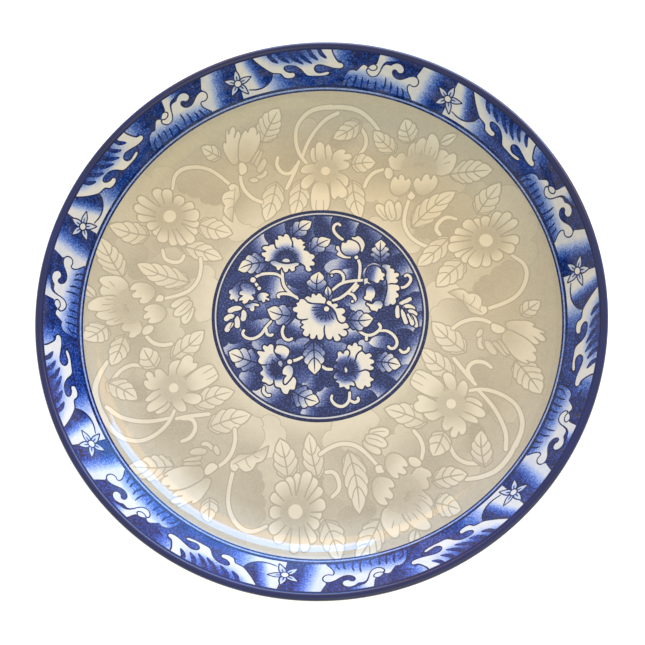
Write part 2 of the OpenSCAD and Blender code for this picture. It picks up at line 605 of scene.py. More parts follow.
def curling_wave(d):
    """The standing wave: three crests that curl over, with pen strokes running up its foot."""
    crests = [(62.8, 4.2, 1), (64, 9), (66, 13), (69, 14.8), (71.4, 14.4, 1), (73, 16.5), (75, 18.8),
              (77, 18.6), (78, 17.4, 1), (79.5, 19.3), (81.5, 20.1), (83.3, 18.5), (82.3, 16.5), (80, 16),
              (78, 16.9), (77.4, 15), (78.8, 12.8), (81, 11.9), (83.6, 13), (85.2, 15.8), (86.2, 19.3),
              (88, 21.6), (91, 21.8, 1), (92.5, 23.3), (95, 24.3), (97.5, 23.5), (99, 21.3), (98.8, 19.2),
              (97.2, 18), (95.5, 18.3), (94.3, 19.4), (93.2, 19.3), (92.6, 17.7), (93.5, 15.5),
              (95.5, 14.3), (98, 14.4), (100, 15.6), (103, 18), (106, 19), (108, 18), (108.8, 15.8),
              (108, 13.5), (106, 12.5), (103.8, 12.9), (103.1, 10.8), (104.2, 8), (107.2, 4.2, 1)]
    d.fill(smooth(crests, step=0.6), fade((85, 15.5), (84, 6), 0.04, 0.6))
    roots = ((65.5, 66.4, 8, 69, 10.3), (70, 71.2, 8, 71.4, 11.8), (74.5, 75.3, 8, 75.5, 11),
             (78.3, 79, 7.5, 79, 10), (83.7, 83.8, 7, 83.5, 9.5), (88.7, 89.5, 9, 89.2, 13.4),
             (93, 93.4, 8, 92.6, 11.5), (98, 97.8, 7.5, 96.8, 9.5), (102, 101, 7.5, 99.8, 9.2))
    for foot, x, y, tip_x, tip_y in roots:
        d.line(smooth([(foot, 4.2), (x, y), (tip_x, tip_y)], False), 1.1, 0.95, ends=(1, 0.25))
    d.line(smooth(crests, False, step=0.6), LINE * 0.85, 1.0)
    hook = [(86, 18.5), (87, 21.4), (88.6, 23.3), (90.6, 23.6), (92.2, 23.9), (94.5, 25)]
    d.line(smooth(hook, False), 0.9, 0.97, ends=(1, 0.3))


def border_lines(d):
    """The plain bands below the pictures and the one above them."""
    for low, high, tone in ((-1, 1.2, 0.97), (1.2, 2.2, 0.3), (2.2, 3.9, 0.98)):
        d.fill(level(low, high), tone)
    d.fill(level(27, 30), fade((0, 27), (0, 28.4), 0.92, 0.98))


def border_unit():
    d = Drawing()
    border_ground(d)
    middle_shades(d)
    leaf_panels(d)
    column_panel(d)
    right_panel(d)
    wave_with_fringe(d)
    curling_wave(d)
    d.line([(0.1, 3.9), (0.3, 9)], 0.7, 0.95)
    d.line(smooth([(1.4, 22), (1.6, 25), (2.0, 28.8)], False), 0.7, 0.95)
    star_flower(d, (0, 14.2))
    return d


def border_drawing():
    one = border_unit()
    d = Drawing()
    for shift in (REPEAT, 0):
        d.add(one.copied(move=(shift, 0)))
    border_lines(d)
    return d


# ---------------------------------------------------------------- shared plant shapes
def along_leaf(base, tip, bend):
    """Gives a point by its share of the way along a leaf's bent rib and its distance to the side."""
    base, tip = np.array(base, float), np.array(tip, float)
    rib = tip - base
    side = np.array([-rib[1], rib[0]]) / np.hypot(*rib)
    return lambda t, out=0.0: tuple(base + rib * t + side * (4 * bend * t * (1 - t) + out))


def half_leaf(width, t):
    return width / 2 * math.sin(math.pi * t**0.8) ** 0.75


def lobe_end(i, lobes):
    return 0.04 + 0.9 * (i + 1) / lobes


def leaf_outline(base, tip, width, lobes, bend, notch):
    """A pointed leaf along a bent rib, with round lobes down both sides."""
    at = along_leaf(base, tip, bend)

    def flank(sign):
        run = []
        for i in range(lobes):
            for share, fill in ((0.65, 0.97), (0.25, 1.0)):
                t = lobe_end(i, lobes) - 0.9 / lobes * share
                run.append(at(t, sign * half_leaf(width, t) * fill))
            t = lobe_end(i, lobes)
            if i < lobes - 1:
                run.append((*at(t, sign * half_leaf(width, t) * (1 - notch)), 1))
        return run

    return smooth([(*at(0), 1), *flank(-1), (*at(1), 1), *flank(1)[::-1]], step=0.6)


def leaf(d, base, tip, width, lobes, bend=0.0, fill=(0.75, 0.0), edge=1.0, pen=0.85, start=0.0,
         notch=0.22):
    """A leaf, blue at its base, with a midrib and a side vein swept forward into every notch."""
    at = along_leaf(base, tip, bend)
    tone = fade(np.array(at(0.1)), np.array(at(0.72)), *fill)
    d.shape(leaf_outline(base, tip, width, lobes, bend, notch), tone, edge, pen)
    d.line([at(t) for t in np.linspace(start, 0.9, 9)], pen, edge, ends=(1, 0.3))
    for i in range(lobes - 1):
        t = lobe_end(i, lobes)
        for out in (-half_leaf(width, t) * (1 - notch), half_leaf(width, t) * (1 - notch)):
            vein = smooth([at(t - 0.2), at(t - 0.13, out * 0.5), at(t, out * 0.96)], False)
            d.line(vein, pen * 0.8, edge, ends=(1, 0.4))


def fingers(d, strokes, width):
    """The rounded white lobes of a small divided leaf, each from its root to its tip."""
    pen = 0.8
    for points in strokes:
        path = smooth(points, False)
        d.line(path, width + 2 * pen, 1.0, ends=(0.45, 1), cap=0.3 * width + pen)
        d.line(path, width, 0.03, ends=(0.3, 1), cap=0.3 * width)


def stamens(d, centre, inner, outer, first, last, count, width, tone):
    """Short pen strokes that spread from a flower's heart."""
    for i in range(count):
        a = first + (last - first) * i / (count - 1)
        long = outer if i % 2 == 0 else inner + (outer - inner) * 0.8
        d.line([polar(centre, inner, a), polar(centre, (inner + long) / 2, a), polar(centre, long, a)],
               width, tone, ends=(0.4, 0.9))


def vines(d, strokes, width=1.7, light=0.03, edge=1.0, pen=0.75):
    """Pale stems and tendrils with a dark outline; where they fork they run together."""
    paths = [smooth(points, False) for points in strokes]
    for path in paths:
        d.line(path, width + 2 * pen, edge, ends=(0.7, 0.9), cap=0.2 * width + pen)
    for path in paths:
        d.line(path, width, light, ends=(0.7, 0.9), cap=0.2 * width)


# ---------------------------------------------------------------- the medallion's drawing
PEN = 0.95
PANEL_DARK = 0.88


def outlined(d, points, tone, pen=PEN):
    d.shape(smooth(points), tone, 1.0, pen)


# Each ground panel: its notches, where it is pale, where it is deep, and its palest ink
MEDALLION_PANELS = (
    ([(-36, 52), (-31, 43), (-46, 30), (-58, 22), (-62, 30)], (-33, 45), (-42, 41), 0.15),
    ([(-33, 50), (-19, 57), (-18, 50), (-24, 43), (-30, 43)], (-19.5, 54), (-29, 49), 0.3),
    ([(-19, 60), (-1, 61), (-2, 46), (-9, 44), (-18, 47)], (-2, 52), (-7, 52), 0.45),
    ([(-1, 61), (9, 60), (9, 55), (9, 46), (0, 44)], (8.6, 57.5), (3.5, 54), 0.25),
    ([(9, 60), (26, 55), (22, 47), (16, 44), (9, 48)], (24, 52), (16.5, 51), 0.12),
    ([(26, 56), (38, 47), (34, 36), (26, 30), (22, 46)], (36, 47), (30, 44), 0.42),
    ([(38, 47), (50, 36), (45, 34), (42, 30), (37, 38)], (49, 36), (43, 39), 0.3),
    ([(43, 33), (51, 35), (56, 26), (54, 20), (44, 18), (37, 28)], (52, 25), (47, 30), 0.3),
    ([(44, 18), (57, 22), (60, 12), (52, 9), (46, 10)], (57, 13), (52, 17), 0.28),
    ([(52, 10), (60, 11), (61, 2), (55, 1), (46, 4)], (58, 3), (53, 8), 0.4),
    ([(36, 3), (46, 4), (57, 0), (60, -10), (54, -12), (45, -10), (38, -4), (33, -4)],
     (54, -10.5), (50, -4), 0.2),
    ([(45, -11), (54, -12), (60, -9), (60, -21), (50, -21), (45, -16)], (57, -20), (51, -15), 0.3),
    ([(31, -22), (45, -21), (58, -21), (53, -32), (44, -27), (31, -27)], (51, -29), (45, -24), 0.12),
    ([(31, -36), (46, -32), (53, -32), (45, -43), (36, -38)], (43, -41.5), (38, -36), 0.2),
    ([(30, -40), (36, -37), (45, -43), (34, -51), (26, -46)], (32.5, -49.5), (36, -42), 0.1),
    ([(18, -44), (28, -45), (33, -51), (24, -57), (16, -52)], (20, -46), (26, -52), 0.45),
    ([(9, -53), (16, -56), (24, -56), (10, -61)], (9.5, -57), (20, -57), 0.35),
    ([(-1, -47), (3, -43), (8, -41.5), (15, -45), (17, -50), (9, -61), (-9, -61), (-3, -52)],
     (0, -45.5), (7, -49), 0.12),
    ([(-10, -57), (-9, -61), (9, -61), (-1, -55)], (-9, -59), (-1, -59), 0.2),
    ([(-10, -41), (-4, -36), (5, -36), (9, -42), (3, -43), (-1, -46), (-6, -43)], (-9, -40), (-1, -41), 0.2),
    ([(-38, -45), (-33, -43), (-25, -43), (-17, -48), (-18, -57), (-28, -55)], (-29, -45), (-23, -52), 0.12),
    ([(-46, -37), (-43, -34), (-34, -35), (-33, -43), (-38, -45)], (-45, -37), (-37, -39), 0.2),
    ([(-57, -20), (-52, -17), (-47, -18), (-44, -16), (-38, -18), (-35, -22), (-54, -24)],
     (-52, -18), (-44, -22), 0.25),
    ([(-60, -6), (-55, -9), (-45, -8), (-39, -15), (-47, -17), (-53, -17), (-57, -20)],
     (-44, -9), (-50, -14), 0.5),
    ([(-44, 6), (-42, -4), (-39, -6), (-34, -4), (-29, -3), (-31, 2), (-31, 5)], (-36, 5), (-37, -3), 0.45),
    ([(-45, -7), (-42, -4), (-39, -6), (-34, -4), (-29, -4), (-33, -12), (-39, -14), (-44, -12)],
     (-33, -5), (-39, -11), 0.3),
    ([(-39, -19), (-34, -13), (-29, -13), (-22, -15), (-17, -18), (-25, -19)], (-37, -18), (-29, -14), 0.3),
    ([(-30, -8), (-27, -5), (-22, -7), (-22, -14), (-29, -13)], (-29, -8), (-24, -11), 0.35),
    ([(-21, -6), (-13, -4), (-9, -11), (-9, -15), (-15, -18), (-20, -14)], (-13, -6), (-16, -11), 0.2),
    ([(-25, -17), (-19, -16), (-14, -18), (-9, -15), (-6, -16), (-9, -24), (-17, -22)],
     (-16, -18.5), (-16, -22.5), 0.4),
    ([(-14, -29), (-9, -26), (-5, -36), (-9, -41), (-14, -38)], (-8, -39), (-11, -31), 0.6),
    ([(-30, 23), (-22, 23), (-20, 16), (-22, 12), (-25, 8), (-33, 8), (-38, 19)],
     (-22.5, 16), (-32, 18), 0.03),
    ([(-32, 5), (-25, 9), (-13, 9), (-12, 3), (-18, -1)], (-25, 4), (-18, 7), 0.62),
    ([(-20, 16), (-13, 14), (-9, 17), (-6, 11), (-13, 8)], (-18, 16.5), (-12, 12), 0.2),
    ([(-20.5, 24), (-18, 17.5), (-10, 15.5), (-6.5, 19), (-6, 26), (-13, 28)], (-14, 25.5), (-13, 18), 0.42),
    ([(-6, 35), (0, 33), (10, 35), (9, 41), (3, 39), (-3, 36)], (7, 38), (0, 34), 0.4),
    ([(-4, 27), (8, 31), (14, 33), (10, 35), (-4, 35)], (12, 32), (2, 32), 0.45),
    ([(3, 27), (10, 32), (23, 29), (22, 22), (14, 24)], (10, 30), (17, 27), 0.25),
    ([(12, 24), (17, 26), (22, 26), (22, 21), (14, 19)], (15, 24), (20, 23), 0.2),
    ([(5, 21), (8, 25), (13, 23), (13, 17), (8, 15)], (8, 20), (11, 18), 0.55),
    ([(26, 22), (28, 27), (34, 29), (38, 22), (29, 18)], (29, 27.5), (32, 22), 0.08),
    ([(18, 17), (24, 19), (27, 9), (31, 2), (23, 0), (18, 4), (13, 8)], (24, 4), (20, 12), 0.12),
    ([(17, -8), (23, -10), (27, -16), (18, -21), (13, -19)], (18.5, -10.5), (20, -17), 0.12),
    ([(3, -17), (11, -18), (16, -20), (10, -24), (9, -33), (2, -32), (4, -24)], (13, -19), (6, -27), 0.4),
    ([(23, -17), (30, -19), (38, -22), (34, -25), (25, -22)], (25, -19), (32, -22), 0.2),
)


def medallion_ground(d):
    """Panels with lobed edges, each pale along one side."""
    d.fill(disc((0, 0), 62), 0.8)
    for notches, pale, deep, light in MEDALLION_PANELS:
        d.fill(lobed(notches, 0.2), fade(pale, deep, light, PANEL_DARK))
    d.fill(smooth([(28.5, -18, 1), (31, -15), (35, -14), (40, -15), (43.5, -18), (41, -21), (35, -21),
                   (31, -20)]),
           fade((29.5, -17.5), (38, -18.5), 0.0, 0.72))


def medallion_rings(d):
    ring = circle_part(1.0, 0, 2 * math.pi, 160)[:-1]
    d.line(ring * 60.1, 1.2, 0.97, closed=True)
    d.line(ring * 61.1, 0.9, 0.14, closed=True)
    d.line(ring * 62.6, 2.2, 1.0, closed=True)


def medallion_leaves(d):
    leaf(d, (-0.8, 11), (-0.2, 25.3), 12.5, 3, bend=1.2)
    leaf(d, (5.5, 6.5), (4.8, 16.5), 5.5, 2)
    leaf(d, (-13.5, -1.5), (-31, 2.5), 13, 3, bend=1.5)
    leaf(d, (15.5, -4), (31.7, -3.8), 12.5, 3, bend=-1.0)
    leaf(d, (-3.3, -15.5), (-2.5, -36.6), 13.5, 4)
    leaf(d, (-29.5, 30.5), (-49, 26.5), 13.5, 4, bend=-2.0, start=0.1)
    leaf(d, (-17.5, 46), (-4.5, 56.5), 11, 3, bend=1.0)
    leaf(d, (-6.5, 36), (7, 45), 11, 3, bend=1.5)
    leaf(d, (36.5, 28.5), (36.5, 44.5), 12, 4, bend=0.6, start=0.1, notch=0.34)
    leaf(d, (-33.5, -29.5), (-53, -22.5), 14, 4, bend=1.0)
    leaf(d, (-16.5, -45), (0.3, -52), 13, 4, bend=-1.0)
    leaf(d, (30.5, -29), (47, -31.5), 12.5, 4, bend=0.8)


def left_sprig(d):
    d.fill(smooth([(-46, 4), (-52, 1), (-53, -4), (-50, -8), (-46, -5), (-43.5, 0)]), 0.62)
    fingers(d, [[(-46.4, 3.4), (-50, 3), (-53, 1.6)], [(-50.6, -1.4), (-53, -1.8), (-55, -3.4)],
                [(-51, -6), (-53, -7.6), (-54.2, -10)], [(-48.6, -2), (-48, -5), (-48, -7.8)],
                [(-44.6, 1.4), (-44.2, -1), (-44.8, -3.6)]], 3.0)
    d.line(smooth([(-45.4, 2.6), (-49.4, -2.4), (-52.6, -9)], False), 0.7, 1.0, ends=(1, 0.4))


def right_sprig(d):
    d.fill(smooth([(44.6, 6), (50, 5), (54.6, 0), (56.2, -7), (52, -6), (48, -1)]), 0.6)
    fingers(d, [[(46.4, 4.6), (50, 6.2), (53, 7.8)], [(49, 3), (52, 3.4), (54.8, 1.8)],
                [(52, 0.6), (54, 0), (56, -1.6)], [(53.4, -2), (55, -4.4), (56, -8.6)],
                [(51.4, -1.6), (53, -4.6), (53.8, -7.4)], [(48, 1), (49, -3), (50.2, -6.6)],
                [(45.4, 3.4), (45.2, 0), (45.4, -3)]], 2.3)
    for points in ([(46, 5), (50, 2), (54, -5)], [(47, 3.6), (49.6, -0.4), (52, -5)]):
        d.line(smooth(points, False), 0.6, 0.95, ends=(1, 0.4))


MEDALLION_STEMS = (
    [(-12.5, 8.5), (-17, 12), (-20.5, 16), (-21.7, 20), (-22, 27)],
    [(-13, 9.5), (-18, 11.4), (-22, 11.7), (-24.4, 10.8), (-23.6, 9.4)],
    [(-22, 21.5), (-25.2, 23.6), (-30, 24.2), (-35, 23.6), (-38.5, 21.7), (-40.6, 20.8)],
    [(-37.9, 18.4), (-36.2, 16)],
    [(7.3, 13.3), (12, 17), (17, 18.7), (26, 19.4)],
    [(13.5, 17.5), (14.3, 21), (12.5, 24.2), (9, 24.9), (6.9, 23.3), (7.6, 22.1)],
    [(7.5, 7.2), (12, 8.7), (16, 11.5), (19, 14.5), (21.8, 17.8)],
    [(19.6, 12.5), (22.8, 16.3)],
    [(16.3, 11.6), (19.5, 10.5), (20.9, 7.7), (19.4, 6.4)],
    [(21.8, 33.8), (23.6, 30), (23.9, 26), (23.3, 20.3)],
    [(-20.7, -7.5), (-21.6, -11), (-20.3, -14.8), (-17.7, -16), (-15.6, -15)],
    [(-28, -4.5), (-31, -8), (-34, -12.5), (-38.5, -15), (-42.5, -14.4), (-44.7, -12), (-43.9, -9.7)],
    [(-31, -9), (-30.5, -12), (-28.3, -13.2), (-27, -12.4)],
    [(22, -9.8), (25, -12.5), (29, -13.6), (33, -12), (35.4, -9), (34.3, -6.6)],
    [(34.5, -11), (39, -11.2), (43, -14), (44.7, -18), (43.3, -21), (41, -21.4), (39.5, -20)],
    [(27.2, -13.8), (27.2, -16.6)],
    [(46, -22), (48, -23.8), (50.5, -22.9), (51.5, -21)],
    [(1.5, -31.3), (4, -33), (7.6, -33.3)],
    [(7.4, -48), (7, -50.5), (9.7, -53.7), (13.7, -54.3), (16.8, -51.3), (17.4, -46.3)],
    [(17.6, -51), (20, -52.2), (22.3, -51), (21.9, -49.3)],
    [(-31.6, -43), (-31.8, -45.8), (-29.6, -48), (-27.8, -47.9)],
    [(12.6, 53.3), (10.8, 54.6), (8.6, 53), (8.6, 50), (11, 46.7), (14, 44.4)],
    [(46.5, 14.5), (50, 15), (53, 18), (53.3, 20.5), (51.5, 22.2), (49.9, 21.3)],
    [(-9.5, -25.9), (-13, -27.6), (-16, -28.4)],
)


def medallion_vines(d):
    vines(d, MEDALLION_STEMS)
    for centre, radius in (((-39.4, 20.4), 2.0), ((7.3, 22.4), 1.1), ((19.3, 6.6), 1.2), ((21.8, 33.4), 1.5),
                           ((-17, -28.7), 1.8), ((-35.6, 15.2), 1.5)):
        d.shape(disc(centre, radius, 0.4), 0.03, 1.0, 0.8)


def middle_flower(d):
    back = [(-9.2, 7.8), (-8, 10), (-6.3, 10.4), (-5, 9.4, 1), (-4.7, 11.5), (-3, 11.8), (-2, 10.6, 1),
            (-0.8, 12), (1, 11.6), (2.1, 10, 1), (3.8, 9), (4.2, 7), (3, 5), (-2, 5), (-6, 6.2)]
    outlined(d, back, 0.03)
    body = [(-6, 6), (-9, 8.5), (-11.6, 8.5), (-12.3, 6.8, 1), (-14, 6), (-13.2, 4.3, 1), (-15.6, 3.3),
            (-15.5, 1), (-13, 0, 1), (-13.6, -2), (-12, -3.9), (-9.8, -4.2, 1), (-10.9, -5.6),
            (-9.3, -7, 1), (-11, -8.6), (-9, -10, 1), (-10, -12.2), (-8.2, -14.2), (-6.2, -13.9),
            (-5.5, -12.4, 1), (-5.6, -15), (-3.6, -15.9), (-2, -14.8), (-1.5, -13.2, 1), (-1, -15.8),
            (1, -16.3), (2.5, -15), (3.2, -12.6, 1), (4, -15.2), (6, -16.3), (7.6, -15.4), (7.8, -14.1, 1),
            (8.6, -16.6), (10.6, -17.3), (12.6, -16), (12.6, -14.6), (11.2, -12.8, 1), (13.5, -14.5),
            (15.6, -14), (16.6, -12), (15.4, -10.3), (14, -10, 1), (17, -9.6), (17.4, -8), (16, -6),
            (13, -5), (9, 0), (5, 4.5)]
    outlined(d, body, glow((3.2, 0.9), 3.2, 9.3, 0.78, 0.02))
    d.line(smooth([(-12, -3.9), (-9.3, -4.1), (-6.5, -3.5)], False), PEN, 1.0, ends=(1, 0.6))
    d.line(smooth([(3.2, -7.4), (2.8, -10), (3.1, -13)], False), PEN, 1.0, ends=(0.6, 1))
    for start, stop in (((-4.2, 3.3), (0.2, 3)), ((-4.6, 1.6), (0.2, 1.7)), ((-3, -1.2), (1, 0.6)),
                        ((-1.8, -2.8), (1.8, -0.3)), ((0.6, -4.5), (2.7, -0.9)), ((3.6, -4.6), (3.9, -1.1)),
                        ((6.3, -4.7), (5.1, -0.9)), ((8.5, -4.2), (6.2, -0.7))):
        d.line([start, ((start[0] + stop[0]) / 2, (start[1] + stop[1]) / 2), stop],
               0.85, 1.0, ends=(0.8, 0.4))
    folded = [(3.8, 5.6), (5, 7.5), (7, 7), (7.7, 5.4, 1), (9.5, 5.9), (11, 5), (11, 3.4), (9.8, 2.8, 1),
              (13.5, 3), (15.3, 1.5), (15, -0.4), (13.3, -1.3, 1), (15.6, -3), (15, -5.5), (13, -6.3),
              (11, -5), (10, -2.5), (9, 0.5), (7, 3)]
    outlined(d, folded, 0.02)
    d.shape(disc((4.2, 2.3), 1.9, 0.4), 0.02, 1.0, 0.85)


def upper_left_flower(d):
    heart = (-20, 32.2)
    left = [(-26, 42), (-29, 42.5), (-30.6, 41.6, 1), (-33, 41.6), (-34.7, 40), (-32, 37.8, 1),
            (-34.8, 37.3), (-34.6, 35.2), (-32.6, 33.9, 1), (-32.8, 32), (-30, 31.4), (-26, 33)]
    right = [(-17, 46.3), (-14.5, 46.6), (-13, 45.4, 1), (-11, 45.5), (-9.7, 43.9, 1), (-8.2, 43.2),
             (-9.9, 41.5, 1), (-8, 40.7), (-9.3, 38.6, 1), (-7, 38), (-5.4, 36.3, 1), (-3.2, 35.6),
             (-2.6, 33.5), (-4.3, 31.9, 1), (-2.7, 30.8), (-3, 28.6), (-5.7, 28.4, 1), (-4.3, 26),
             (-6.3, 24.7), (-8.2, 25.8), (-9, 28.5), (-11.5, 30.3), (-15, 35), (-16, 41)]
    top = [(-27, 43.6), (-26.7, 45.6), (-24.9, 45.2, 1), (-25.4, 47.6), (-22.9, 47.9), (-21.9, 47, 1),
           (-20.8, 49), (-18.6, 48.3), (-17.2, 45.7), (-16.1, 42.8), (-17, 40), (-25.5, 39.7)]
    for points in (left, right, top):
        outlined(d, points, glow(heart, 6.5, 10.8, 0.72, 0.02))
    d.fill(smooth([(-29, 32.5), (-27, 38), (-22, 40.5), (-16, 40), (-12, 36), (-11.3, 30.8), (-20, 29.5)]),
           glow(heart, 5.5, 10.2, 0.82, 0.12))
    stamens(d, heart, 3.6, 7.6, 8, 158, 14, 0.85, 1.0)
    lip = [(-29.6, 30.7), (-28.8, 32.1), (-26.5, 32.4), (-23.5, 31), (-20, 30.3), (-16.5, 30.5),
           (-13.6, 31.1), (-11.8, 30.2), (-12.4, 28.6, 1), (-14.3, 27.8), (-14.2, 25.9), (-16.6, 25),
           (-18, 26.9, 1), (-18.8, 24.9), (-21, 24.7), (-22.4, 27.8, 1), (-23.8, 25.9), (-25.5, 26.2),
           (-26, 27.9, 1), (-28, 29)]
    outlined(d, lip, fade((-20, 31.5), (-20, 28.5), 0.35, 0.02))
    d.shape(smooth([(-22.4, 31.6), (-21.6, 33.2), (-19.8, 33.6), (-17.9, 32.9), (-17.3, 31.3),
                    (-19.8, 30.7)]),
            0.1, 1.0, 0.8)


def lower_right_flower(d):
    heart = (15.5, -33.5)
    petals = (
        [(15.9, -21.8), (15.8, -20.2), (17.3, -18.6), (18.9, -19.6, 1), (19.7, -17.8), (21.6, -17.8),
         (22.6, -19.6, 1), (24.4, -20), (24.6, -22), (21.5, -25), (20, -29), (17, -27)],
        [(21, -27.2), (22, -24.3), (24.6, -22.7), (26.6, -24.4, 1), (29, -23.8), (30.6, -25.8), (29, -27, 1),
         (31.5, -27.9), (31.6, -29.9), (29.4, -30.9, 1), (31.5, -32.2), (30.6, -34), (27.8, -34.2),
         (23.5, -34.6), (19, -33)],
        [(23.5, -34.5), (27, -33.7), (29, -35.2), (29.3, -37.3, 1), (31.5, -39.4), (29.4, -40.8, 1),
         (29.6, -43), (27.5, -44), (26.1, -42.9, 1), (25, -45), (22.4, -44.6), (20.8, -43), (20.2, -41),
         (17, -37)],
        [(8, -37.2), (8.6, -38.9), (10.6, -38.9, 1), (9.2, -40.2), (11.1, -41.7, 1), (11.5, -44),
         (14, -43.6, 1), (16, -45.2), (17.6, -44.6), (17.6, -42.6, 1), (20.2, -43.2), (20.2, -41),
         (17.5, -39), (14.5, -36.5), (10, -34.5)],
        [(10.3, -26.2), (10.3, -23.6), (12, -22.5), (13.8, -24.2, 1), (14.5, -22.4), (16.6, -22),
         (17.6, -24), (15.6, -28), (14, -33), (12.6, -35.3), (11, -34), (8.6, -33), (8.2, -31),
         (10.5, -29.6, 1), (9, -28.3)],
    )
    for points in petals:
        outlined(d, points, glow(heart, 5.5, 9, 0.78, 0.02))
    d.fill(smooth([(15, -26.5), (19, -28), (22, -32), (22.3, -37), (20.5, -40), (14, -36.3), (13.5, -31)]),
           glow(heart, 3, 8.4, 0.9, 0.35))
    stamens(d, heart, 3.2, 7.2, -38, 66, 9, 0.85, 1.0)
    d.shape(smooth([(14.6, -32), (16.3, -33.2), (16, -35.2), (14.8, -35.2)]), 0.1, 0.95, 0.6)


def lower_left_flower(d):
    heart = (-23, -33)
    petals = (
        [(-33.2, -20.6), (-32.2, -18.5), (-30, -19.4, 1), (-28.6, -18), (-26.5, -18.8), (-26, -22),
         (-24, -29), (-30, -30.5), (-33.6, -30.4), (-35.6, -28.5), (-34.7, -25.6, 1), (-36.4, -23),
         (-35, -21.9), (-31.8, -22.5, 1)],
        [(-33.4, -30.5), (-32.6, -33, 1), (-34.3, -35.4), (-32.3, -37.4, 1), (-33.2, -40), (-30.6, -41.2),
         (-29, -42.3), (-26.4, -41.4), (-25, -38), (-23, -33)],
        [(-25.7, -38.5), (-25.9, -41, 1), (-25, -43.2), (-22.3, -44, 1), (-20.7, -47), (-18, -47.6),
         (-16.6, -45, 1), (-14, -45), (-13, -42, 1), (-12.8, -39.5), (-14.4, -37.3), (-20, -36)],
        [(-25.5, -20.6), (-24.8, -19), (-21, -18.9), (-18, -20.5), (-16.9, -22.4), (-17.6, -25), (-20, -28),
         (-22.5, -26.6), (-22.3, -25.2, 1), (-25.5, -23.6), (-26.2, -22)],
    )
    for points in petals:
        outlined(d, points, glow((-24, -32), 4.8, 9, 0.8, 0.02))
    d.fill(smooth([(-28, -24), (-24.5, -26), (-21, -31), (-21, -38), (-26, -39), (-29.5, -34),
                   (-29.8, -28)]), glow(heart, 3.5, 8.2, 0.92, 0.3))
    stamens(d, (-22.6, -32.2), 2.4, 7, 134, 248, 9, 0.85, 1.0)
    d.shape(smooth([(-24, -29), (-22.8, -27.8), (-21, -28.8), (-21.5, -31.8), (-23.3, -31)]), 0.3, 1.0, 0.8)
    d.shape(smooth([(-21.2, -33.2), (-19.5, -31), (-17, -30.4), (-15, -32), (-14.8, -36), (-17.5, -40.3),
                    (-20, -41.8), (-20.4, -38.6), (-19, -36.8, 1), (-21.2, -36)]),
            fade((-15, -33), (-18, -35), 0.3, 0.02), 1.0, PEN)


def right_flower(d):
    """A flower seen from the side, with one long frilled petal on the right."""
    d.fill(smooth([(30, 18), (36, 19.5), (40, 18), (40.4, 10), (38.5, 6), (33, 6), (31, 13)]),
           glow((33.4, 13), 3, 8, 0.9, 0.4))
    frill = [(36.5, 28.5), (38.6, 29.1), (40.6, 28.8), (42.1, 28), (41.8, 26.6, 1), (43.3, 26.4),
             (44.4, 25.2), (44.1, 23.8, 1), (45.9, 23.9), (47.1, 22.6), (46.4, 21), (45, 20.4, 1),
             (46.3, 19.4), (45.9, 17.6), (44.2, 16.8, 1), (46.4, 16.2), (47.2, 14.4), (46.8, 12.8),
             (45, 12.3, 1), (46.5, 10.6), (46.4, 8.8), (44.7, 8, 1), (45, 6), (43.9, 4.4), (42.6, 3.9),
             (41.4, 4.6, 1), (40, 3.3), (37.8, 3.5), (37.6, 6.4), (38.6, 9.6), (39.4, 13.2), (39.5, 17),
             (39, 19.6), (38.7, 22), (39.1, 24.4), (38.2, 25.8), (36.8, 27)]
    outlined(d, frill, fade((38.6, 14), (41.4, 14), 0.35, 0.0))
    d.line(smooth([(44.2, 16.8), (42, 17), (40.2, 16.6)], False), PEN, 1.0, ends=(1, 0.5))
    upper = [(27.2, 22.6), (28, 26.2), (30.6, 28.4), (33.6, 28.2), (35.2, 27.2), (36.6, 25.6),
             (36.9, 24.2, 1), (38.5, 23.2), (38.6, 21.7), (37.6, 20.9, 1), (38.2, 19.6), (37.1, 18.6),
             (35.8, 19.2, 1), (35, 17.6), (33.8, 17.1), (31.4, 18.2), (28.4, 19.4)]
    outlined(d, upper, fade((30.6, 23.4), (34.4, 22.4), 0.72, 0.0))
    lower = [(29.6, 16.4), (32, 14.6), (33, 11.4), (32.2, 8.6), (31.1, 7.5, 1), (30.5, 5.8), (29.4, 6.6, 1),
             (28.2, 6.8), (26.4, 7.4), (25.6, 8.9), (26.8, 10.4, 1), (27, 13.2), (27.8, 15.2)]
    outlined(d, lower, fade((29.6, 16), (29, 11.5), 0.7, 0.0))
    bottom = [(32.1, 6.5), (34.2, 7.3), (36.6, 6.4), (37.2, 3.9), (35.8, 1.8), (34.6, 1.8, 1), (33.6, -0.1),
              (32.2, 0.5), (31.2, 0.6, 1), (29.8, 1.2), (28.8, 3.2), (27.2, 4.4), (27.4, 6), (29.2, 5.6, 1),
              (30.8, 5.2)]
    outlined(d, bottom, fade((33.6, 7), (32.6, 3.6), 0.45, 0.0))
    stamens(d, (33.2, 13.4), 1.2, 6.4, -62, 52, 9, 0.75, 1.0)
    calyx = [(26, 20.2), (28.6, 20.6), (28.6, 18.8), (30.2, 16.8), (27.8, 17.2), (26.4, 16.2), (26, 18.2)]
    d.shape(smooth(calyx), 0.08, 1.0, 0.7)


